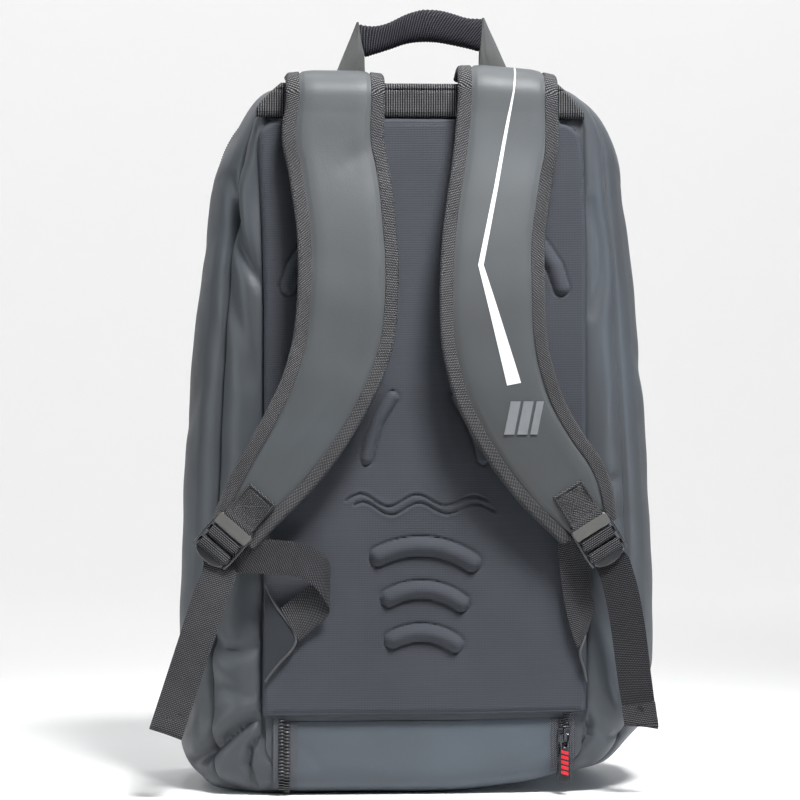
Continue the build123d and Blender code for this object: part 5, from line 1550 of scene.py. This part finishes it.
def line_samples(line, pitch, shift=0.0):
    """Evenly spaced samples on a fine polyline, with tangents."""
    p = np.array(line, float)
    c = np.r_[0, np.cumsum(np.linalg.norm(np.diff(p, axis=0), axis=1))]
    s = np.arange(pitch * (0.5 + shift), c[-1] - pitch * 0.4, pitch)
    q = np.stack([np.interp(s, c, p[:, k]) for k in range(3)], 1)
    d = 0.8
    a = np.stack([np.interp(np.clip(s - d, 0, c[-1]), c, p[:, k]) for k in range(3)], 1)
    b = np.stack([np.interp(np.clip(s + d, 0, c[-1]), c, p[:, k]) for k in range(3)], 1)
    return q, unit(b - a), s, c


def main_zip():
    us = {}
    uh = float(u_at_z(45.0, 115.0))
    u = np.concatenate([np.linspace(uh, 3.0, 160), np.linspace(3.0, 4.0, 60)[1:], np.linspace(4.0, 5.0, 50)[1:]])

    def both(y, off):
        r, l = shape(np.full(len(u), y), u, 1), shape(np.full(len(u), y), u, -1)
        return np.concatenate([l, r[::-1][1:]])

    for word, y0, y1, body in (("body", 36.3, 44.8, "bag"), ("flap", 45.2, 53.7, "main_flap")):
        ys = np.linspace(y0, y1, 7)
        g = np.stack([both(y, 0) for y in ys])
        gy, gu = np.gradient(g, axis=0), np.gradient(g, axis=1)
        n = unit(np.cross(gy, gu))
        mid = n.shape[1] // 2
        if n[3, mid, 2] < 0:
            n = -n
        lift = 1.1 - 0.5 * np.abs(np.linspace(-1, 1, 7))[:, None, None]
        ob = closed(f"zip_main_tape_{word}", g + n * lift, g - n * 0.3, [M["tape"]])
        fix_normals(ob)
        finish_piece(ob, body, [f"main_zip_tape_{word}"])
        yt = 43.9 if word == "body" else 46.1
        base = both(yt, 0)
        k = np.argmin(np.abs(ys - yt))
        nn_ = n[k]
        q, t, s, c = line_samples(base, 2.0, 0.0 if word == "body" else 0.5)
        ni = unit(np.stack([np.interp(s, c, nn_[:, i]) for i in range(3)], 1))
        side = np.cross(t, ni)
        chain(f"zip_main_teeth_{word}", q + ni * 1.9, t, ni, side, (1.35, 2.1, 1.7), body, [f"main_zip_teeth_{word}"], bevel=0.35)


main_zip()


def shoe_zip():
    prof = np.array([(-95.0, 49.0), (-95.0, 34.0), (-95.0, 18.0), (-93.4, 9.6), (-90.2, 4.0), (-86.0, 0.4), (-82.8, -1.2)])
    p, s = path(prof, 1.0)
    tt = unit(np.gradient(p, axis=0))
    n = np.stack([tt[:, 1], -tt[:, 0]], 1)
    if n[0, 0] > 0:
        n = -n
    pb_ = np.concatenate([[[-95.0, 53.8], [-95.0, 51.5]], p[:-6]])
    nb_ = np.concatenate([n[:1], n[:1], n[:-6]])
    tapes_f, tapes_b = [], []
    for sd in (-1, 1):
        # tape on the flap, curling under the base
        X = sd * np.linspace(93.6, 102.5, 7)
        e_ = len(p) - 6
        G = np.zeros((e_, 7, 3))
        G[..., 0] = X[None]
        G[..., 1] = p[:e_, :1] + n[:e_, :1] * 1.6
        G[..., 2] = p[:e_, 1:] + n[:e_, 1:] * 1.6
        B = G.copy()
        B[..., 1] -= n[:e_, :1] * 0.9
        B[..., 2] -= n[:e_, 1:] * 0.9
        tapes_f.append(closed("t", G, B, [M["tape"]]))
        X = sd * np.linspace(103.6, 111.8, 7)
        G = np.zeros((len(pb_), 7, 3))
        G[..., 0] = X[None]
        G[..., 1] = pb_[:, :1] + nb_[:, :1] * 2.2
        G[..., 2] = pb_[:, 1:] + nb_[:, 1:] * 2.2
        B = G.copy()
        B[..., 1] -= nb_[:, :1] * 2.4
        B[..., 2] -= nb_[:, 1:] * 2.4
        tapes_b.append(closed("t", G, B, [M["tape"]]))
    for obs, nm, body, rep in ((tapes_f, "zip_shoe_tape_flap", "shoe_flap", "shoe_zip_tape_flap"), (tapes_b, "zip_shoe_tape_body", "bag", "shoe_zip_tape_body")):
        ob = join(nm, obs)
        fix_normals(ob)
        finish_piece(ob, body, [rep])
    pf, tf_, nf, sf = [], [], [], []
    pb, tb, nb, sb = [], [], [], []
    for sd in (-1, 1):
        line = np.stack([np.full(len(p), sd * 101.5), p[:, 0] + n[:, 0] * 2.4, p[:, 1] + n[:, 1] * 2.4], 1)
        q, t, s_, c = line_samples(line, 2.5)
        ni = unit(np.stack([0 * s_, np.interp(s_, c, n[:, 0]), np.interp(s_, c, n[:, 1])], 1))
        pf.append(q)
        tf_.append(t)
        nf.append(ni)
        sf.append(np.repeat([[1.0, 0, 0]], len(q), 0))
        line = np.stack([np.full(len(pb_), sd * 105.5), pb_[:, 0] + nb_[:, 0] * 3.0, pb_[:, 1] + nb_[:, 1] * 3.0], 1)
        q, t, s_, c = line_samples(line, 2.5, 0.5)
        ni = unit(np.stack([0 * s_, np.interp(s_, c, nb_[:, 0]), np.interp(s_, c, nb_[:, 1])], 1))
        pb.append(q)
        tb.append(t)
        nb.append(ni)
        sb.append(np.repeat([[1.0, 0, 0]], len(q), 0))
    cat = np.concatenate
    chain("zip_shoe_teeth_flap", cat(pf), cat(tf_), cat(nf), cat(sf), (1.3, 4.4, 2.2), "shoe_flap", ["shoe_zip_teeth_flap"])
    chain("zip_shoe_teeth_body", cat(pb), cat(tb), cat(nb), cat(sb), (1.3, 4.2, 2.2), "bag", ["shoe_zip_teeth_body"])


shoe_zip()


def slider(name, origin, xd, zd, body, replaces):
    o, xd, zd = np.array(origin, float), np.array(xd, float), np.array(zd, float)
    yd = np.cross(zd, xd)
    parts = [bevel_box((12.0, 8.2, 1.3), (0, 0, 2.3), 0.5, 3), bevel_box((10.5, 9.0, 1.2), (0.4, 0, 0.9), 0.5, 3)]
    parts.append(bevel_box((3.0, 9.0, 3.0), (4.2, 0, 1.5), 1.0, 3))
    arch = [(-4.4, 0, 2.6), (-4.2, 0, 5.2), (-3.0, 0, 6.6), (0, 0, 7.0), (3.0, 0, 6.6), (4.2, 0, 5.2), (4.4, 0, 2.6)]
    v, f = rod(arch, 1.0, 10, step=0.6)
    v[:, 1] *= 1.0
    parts.append((v, f))
    parts.append(bevel_box((12.2, 0.9, 2.6), (0, 4.1, 1.5), 0.35, 2))
    parts.append(bevel_box((12.2, 0.9, 2.6), (0, -4.1, 1.5), 0.35, 2))
    v, f = merge(parts)
    ob = make(name, place(v, o, xd, yd, zd), f, [M["metal"]], sharp=45)
    fix_normals(ob)
    finish_piece(ob, body, replaces)


def pull(name, origin, xd, zd, length, body, replaces):
    """Wire loop on the slider's crown and a moulded grip with raised red ribs."""
    o, xd, zd = np.array(origin, float), np.array(xd, float), np.array(zd, float)
    yd = np.cross(zd, xd)
    loop = [(0, -3.0, 0), (0, 0, 0), (0, 3.0, 0), (-0.6, 3.4, 0), (-4.5, 3.1, 0), (-9.0, 2.5, 0), (-12.5, 1.8, 0), (-13.0, 0, 0), (-12.5, -1.8, 0), (-9.0, -2.5, 0), (-4.5, -3.1, 0), (-0.6, -3.4, 0), (0, -3.0, 0)]
    v, f = rod(loop, 0.65, 8)
    w = make(name + "_wire", place(v, o, xd, yd, zd), f, [M["wire"]], sharp=60)
    fix_normals(w)
    finish_piece(w, body, replaces)
    # moulded grip: rounded outline, crowned faces
    L = length - 9.0
    xs = np.linspace(0, 1, 46)
    rings = []
    for q in xs:
        x = -9.0 - L * q
        e = min(q, 1 - q) * L
        half = 4.4 * (0.62 + 0.38 * float(smooth(q, 0.0, 0.35))) * math.sqrt(max(1 - (1 - min(e / 3.4, 1)) ** 2, 0.02))
        th = 1.35 * math.sqrt(max(1 - (1 - min(e / 1.6, 1)) ** 2, 0.05))
        a = np.linspace(0, 2 * np.pi, 28, endpoint=False)
        sq = (np.abs(np.cos(a)) ** 3.4 + np.abs(np.sin(a)) ** 3.4) ** (-1 / 3.4)
        dish = 1 - 0.28 * math.exp(-((q - 0.5) / 0.32) ** 6) * (np.abs(np.cos(a) * sq) < 0.75)
        rings.append(np.stack([np.full(28, x), half * sq * np.cos(a), th * sq * np.sin(a) * dish], 1))
    rings = np.array(rings)
    ob = tube(name + "_grip", place(rings, o, xd, yd, zd), [M["pull"]], sharp=60)
    fix_normals(ob)
    finish_piece(ob, body, [])
    ribs = []
    for k in range(5):
        x = -13.2 - k * (L - 8.0) / 5.0
        for zz in (1, -1):
            vv, ff = bevel_box((2.5, 5.4, 0.6), (x, 0, zz * 1.05), 0.2, 2)
            vv = vv.copy()
            vv[:, 0] += vv[:, 1] * 0.28
            ribs.append((vv, ff))
    v, f = merge(ribs)
    ob = make(name + "_ribs", place(v, o, xd, yd, zd), f, [M["red"]], sharp=45)
    fix_normals(ob)
    finish_piece(ob, body, [])


slider("slider_shoe", (103.4, -98.2, 40.0), (0, 0, 1), (0, -1, 0), "shoe_slider", ["shoe_zip_slider"])
pull("pull_shoe", (103.4, -102.5, 40.0), (0, 0, 1), (0, -1, 0), 36.0, "shoe_pull", ["shoe_zip_pull"])
for word, s in (("left", -1), ("right", 1)):
    slider(f"slider_main_{word}", (s * 8.0, 45.0, 522.9), (-s, 0, 0), (0, 0, 1), f"main_slider_{word}", [f"main_zip_slider_{word}"])
    pull(f"pull_main_{word}", (s * 8.0, 45.0, 527.2), (-s, 0, 0), (0, 0, 1), 36.0, f"main_pull_{word}", [f"main_zip_pull_{word}"])
slider("slider_pocket", (76.0, 109.9, 295.0), (1, 0, 0), (0, 1, 0), "pocket_slider", ["pocket_zip_slider"])
pull("pull_pocket", (76.0, 114.2, 295.0), (1, 0, 0), (0, 1, 0), 34.0, "pocket_pull", ["pocket_zip_pull"])


# ---------------------------------------------------------------- front pocket
def front_pocket():
    nx = 120
    zs = np.unique(np.r_[np.linspace(140, 292, 90), np.linspace(292, 298, 25), np.linspace(298, 316, 16)])
    nz = len(zs)
    s = np.linspace(-1, 1, nx)
    Z = np.repeat(zs[:, None], nx, 1)
    v = np.minimum(Z - 140, 316 - Z)
    r = 16.0
    ins = np.where(v < r, r - np.sqrt(np.maximum(r * r - (r - v) ** 2, 0)), 0)
    X = (94 - ins) * s[None]
    e = np.minimum(94 - ins - np.abs(X), v)
    y = 106.9 + 2.2 * np.sqrt(np.clip(e / 2.2, 0, 1))
    y += 0.6 * smooth(e, 6, 30)
    y -= 0.8 * np.exp(-((e - 4.2) / 0.7) ** 2)
    slot_ = (1 - smooth(np.abs(Z - 295), 1.9, 2.6)) * (1 - smooth(np.abs(X), 83.2, 84.6))
    y = y * (1 - slot_) + 106.3 * slot_
    p = np.stack([X, y, Z], -1)
    b = p.copy()
    b[..., 1] = 105.6
    ob = closed("pocket_front", p, b, [M["shell"]], sharp=60)
    fix_normals(ob)
    finish_piece(ob, "main_flap", ["front_pocket"])
    tapes = []
    for z0, z1 in ((293.3, 294.9), (295.1, 296.7)):
        G = np.zeros((60, 4, 3))
        G[..., 0] = np.linspace(-83.5, 83.5, 60)[:, None]
        G[..., 2] = np.linspace(z0, z1, 4)[None]
        G[..., 1] = 107.1
        B = G.copy()
        B[..., 1] = 106.2
        tapes.append(closed("t", G, B, [M["tape"]]))
    ob = join("zip_pocket_tape", tapes)
    fix_normals(ob)
    finish_piece(ob, "main_flap", ["pocket_zip_tape"])
    P, T, N, S = [], [], [], []
    for z, sh in ((294.3, 0.0), (295.7, 0.5)):
        q, t, s_, c = line_samples(np.array([(-83.0, 108.1, z), (83.0, 108.1, z)]), 1.8, sh)
        P.append(q)
        T.append(t)
        N.append(np.repeat([[0, 1.0, 0]], len(q), 0))
        S.append(np.repeat([[0, 0, 1.0]], len(q), 0))
    cat = np.concatenate
    chain("zip_pocket_teeth", cat(P), cat(T), cat(N), cat(S), (1.2, 1.6, 1.8), "main_flap", ["pocket_zip_teeth"])


front_pocket()

# ---------------------------------------------------------------- floor, backdrop, light
def studio():
    v, f = [], []
    prof = [(-6.0, 0.0), (2.2, 0.0)]
    for a in np.linspace(0, 90, 14)[1:]:
        prof.append((2.2 + 1.2 * math.sin(math.radians(a)), 1.2 - 1.2 * math.cos(math.radians(a))))
    prof.append((3.4, 5.0))
    for y, z in prof:
        v.append((-7.0, y, z))
        v.append((7.0, y, z))
    for i in range(len(prof) - 1):
        f.append((2 * i, 2 * i + 1, 2 * i + 3, 2 * i + 2))
    me = bpy.data.meshes.new("floor")
    me.from_pydata(v, [], f)
    me.polygons.foreach_set("use_smooth", np.ones(len(f), bool))
    m, nt, b = material("studio_floor", (0.88, 0.88, 0.88), 0.9, 0.1)
    me.materials.append(m)
    ob = bpy.data.objects.new("floor", me)
    bpy.context.scene.collection.objects.link(ob)
    w = bpy.data.worlds.new("World") if not bpy.context.scene.world else bpy.context.scene.world
    bpy.context.scene.world = w
    w.use_nodes = True
    w.node_tree.nodes["Background"].inputs[0].default_value = (1, 1, 1, 1)
    w.node_tree.nodes["Background"].inputs[1].default_value = 0.015

    def area(name, loc, aim, size, power, tint=(1.0, 1.0, 1.0), spread=180):
        l = bpy.data.lights.new(name, "AREA")
        l.shape = "RECTANGLE"
        l.size, l.size_y = size
        l.energy = power
        l.color = tint
        l.spread = math.radians(spread)
        o = bpy.data.objects.new(name, l)
        o.location = loc
        o.rotation_euler = (Vector(aim) - Vector(loc)).to_track_quat("-Z", "Y").to_euler()
        bpy.context.scene.collection.objects.link(o)

    area("key", (0.3, -0.85, 1.55), (0, -0.1, 0.33), (0.42, 0.38), 6.1, (1.0, 1.0, 1.0), 62)
    area("upper", (0.0, -0.66, 0.86), (0, -0.1, 0.47), (0.14, 0.14), 0.16, (1.0, 1.0, 1.0), 70)
    area("front", (0.8, -1.9, 1.0), (0, -0.1, 0.3), (0.6, 0.6), 1.35)
    area("low_fill", (0.3, -1.3, 0.05), (0.05, -0.1, 0.04), (0.6, 0.3), 0.32, (0.66, 0.83, 1.0))
    area("side_left", (-1.5, -0.30, 0.5), (-0.1, -0.05, 0.3), (0.22, 0.9), 1.7, (0.88, 0.96, 1.0), 80)
    area("side_right", (1.5, -0.30, 0.3), (0.1, -0.05, 0.2), (0.25, 0.7), 1.5, (0.76, 0.88, 1.0), 80)
    area("top", (0.0, 0.25, 1.7), (0, 0.05, 0.4), (0.8, 0.5), 1.1, (1.0, 1.0, 1.0), 60)
    area("backdrop_left", (-1.6, 1.2, 2.3), (0, 3.4, 0.9), (1.2, 1.2), 48)
    area("backdrop_right", (1.6, 1.2, 2.3), (0, 3.4, 0.9), (1.2, 1.2), 48)


studio()
bpy.context.scene.view_settings.view_transform = "Standard"
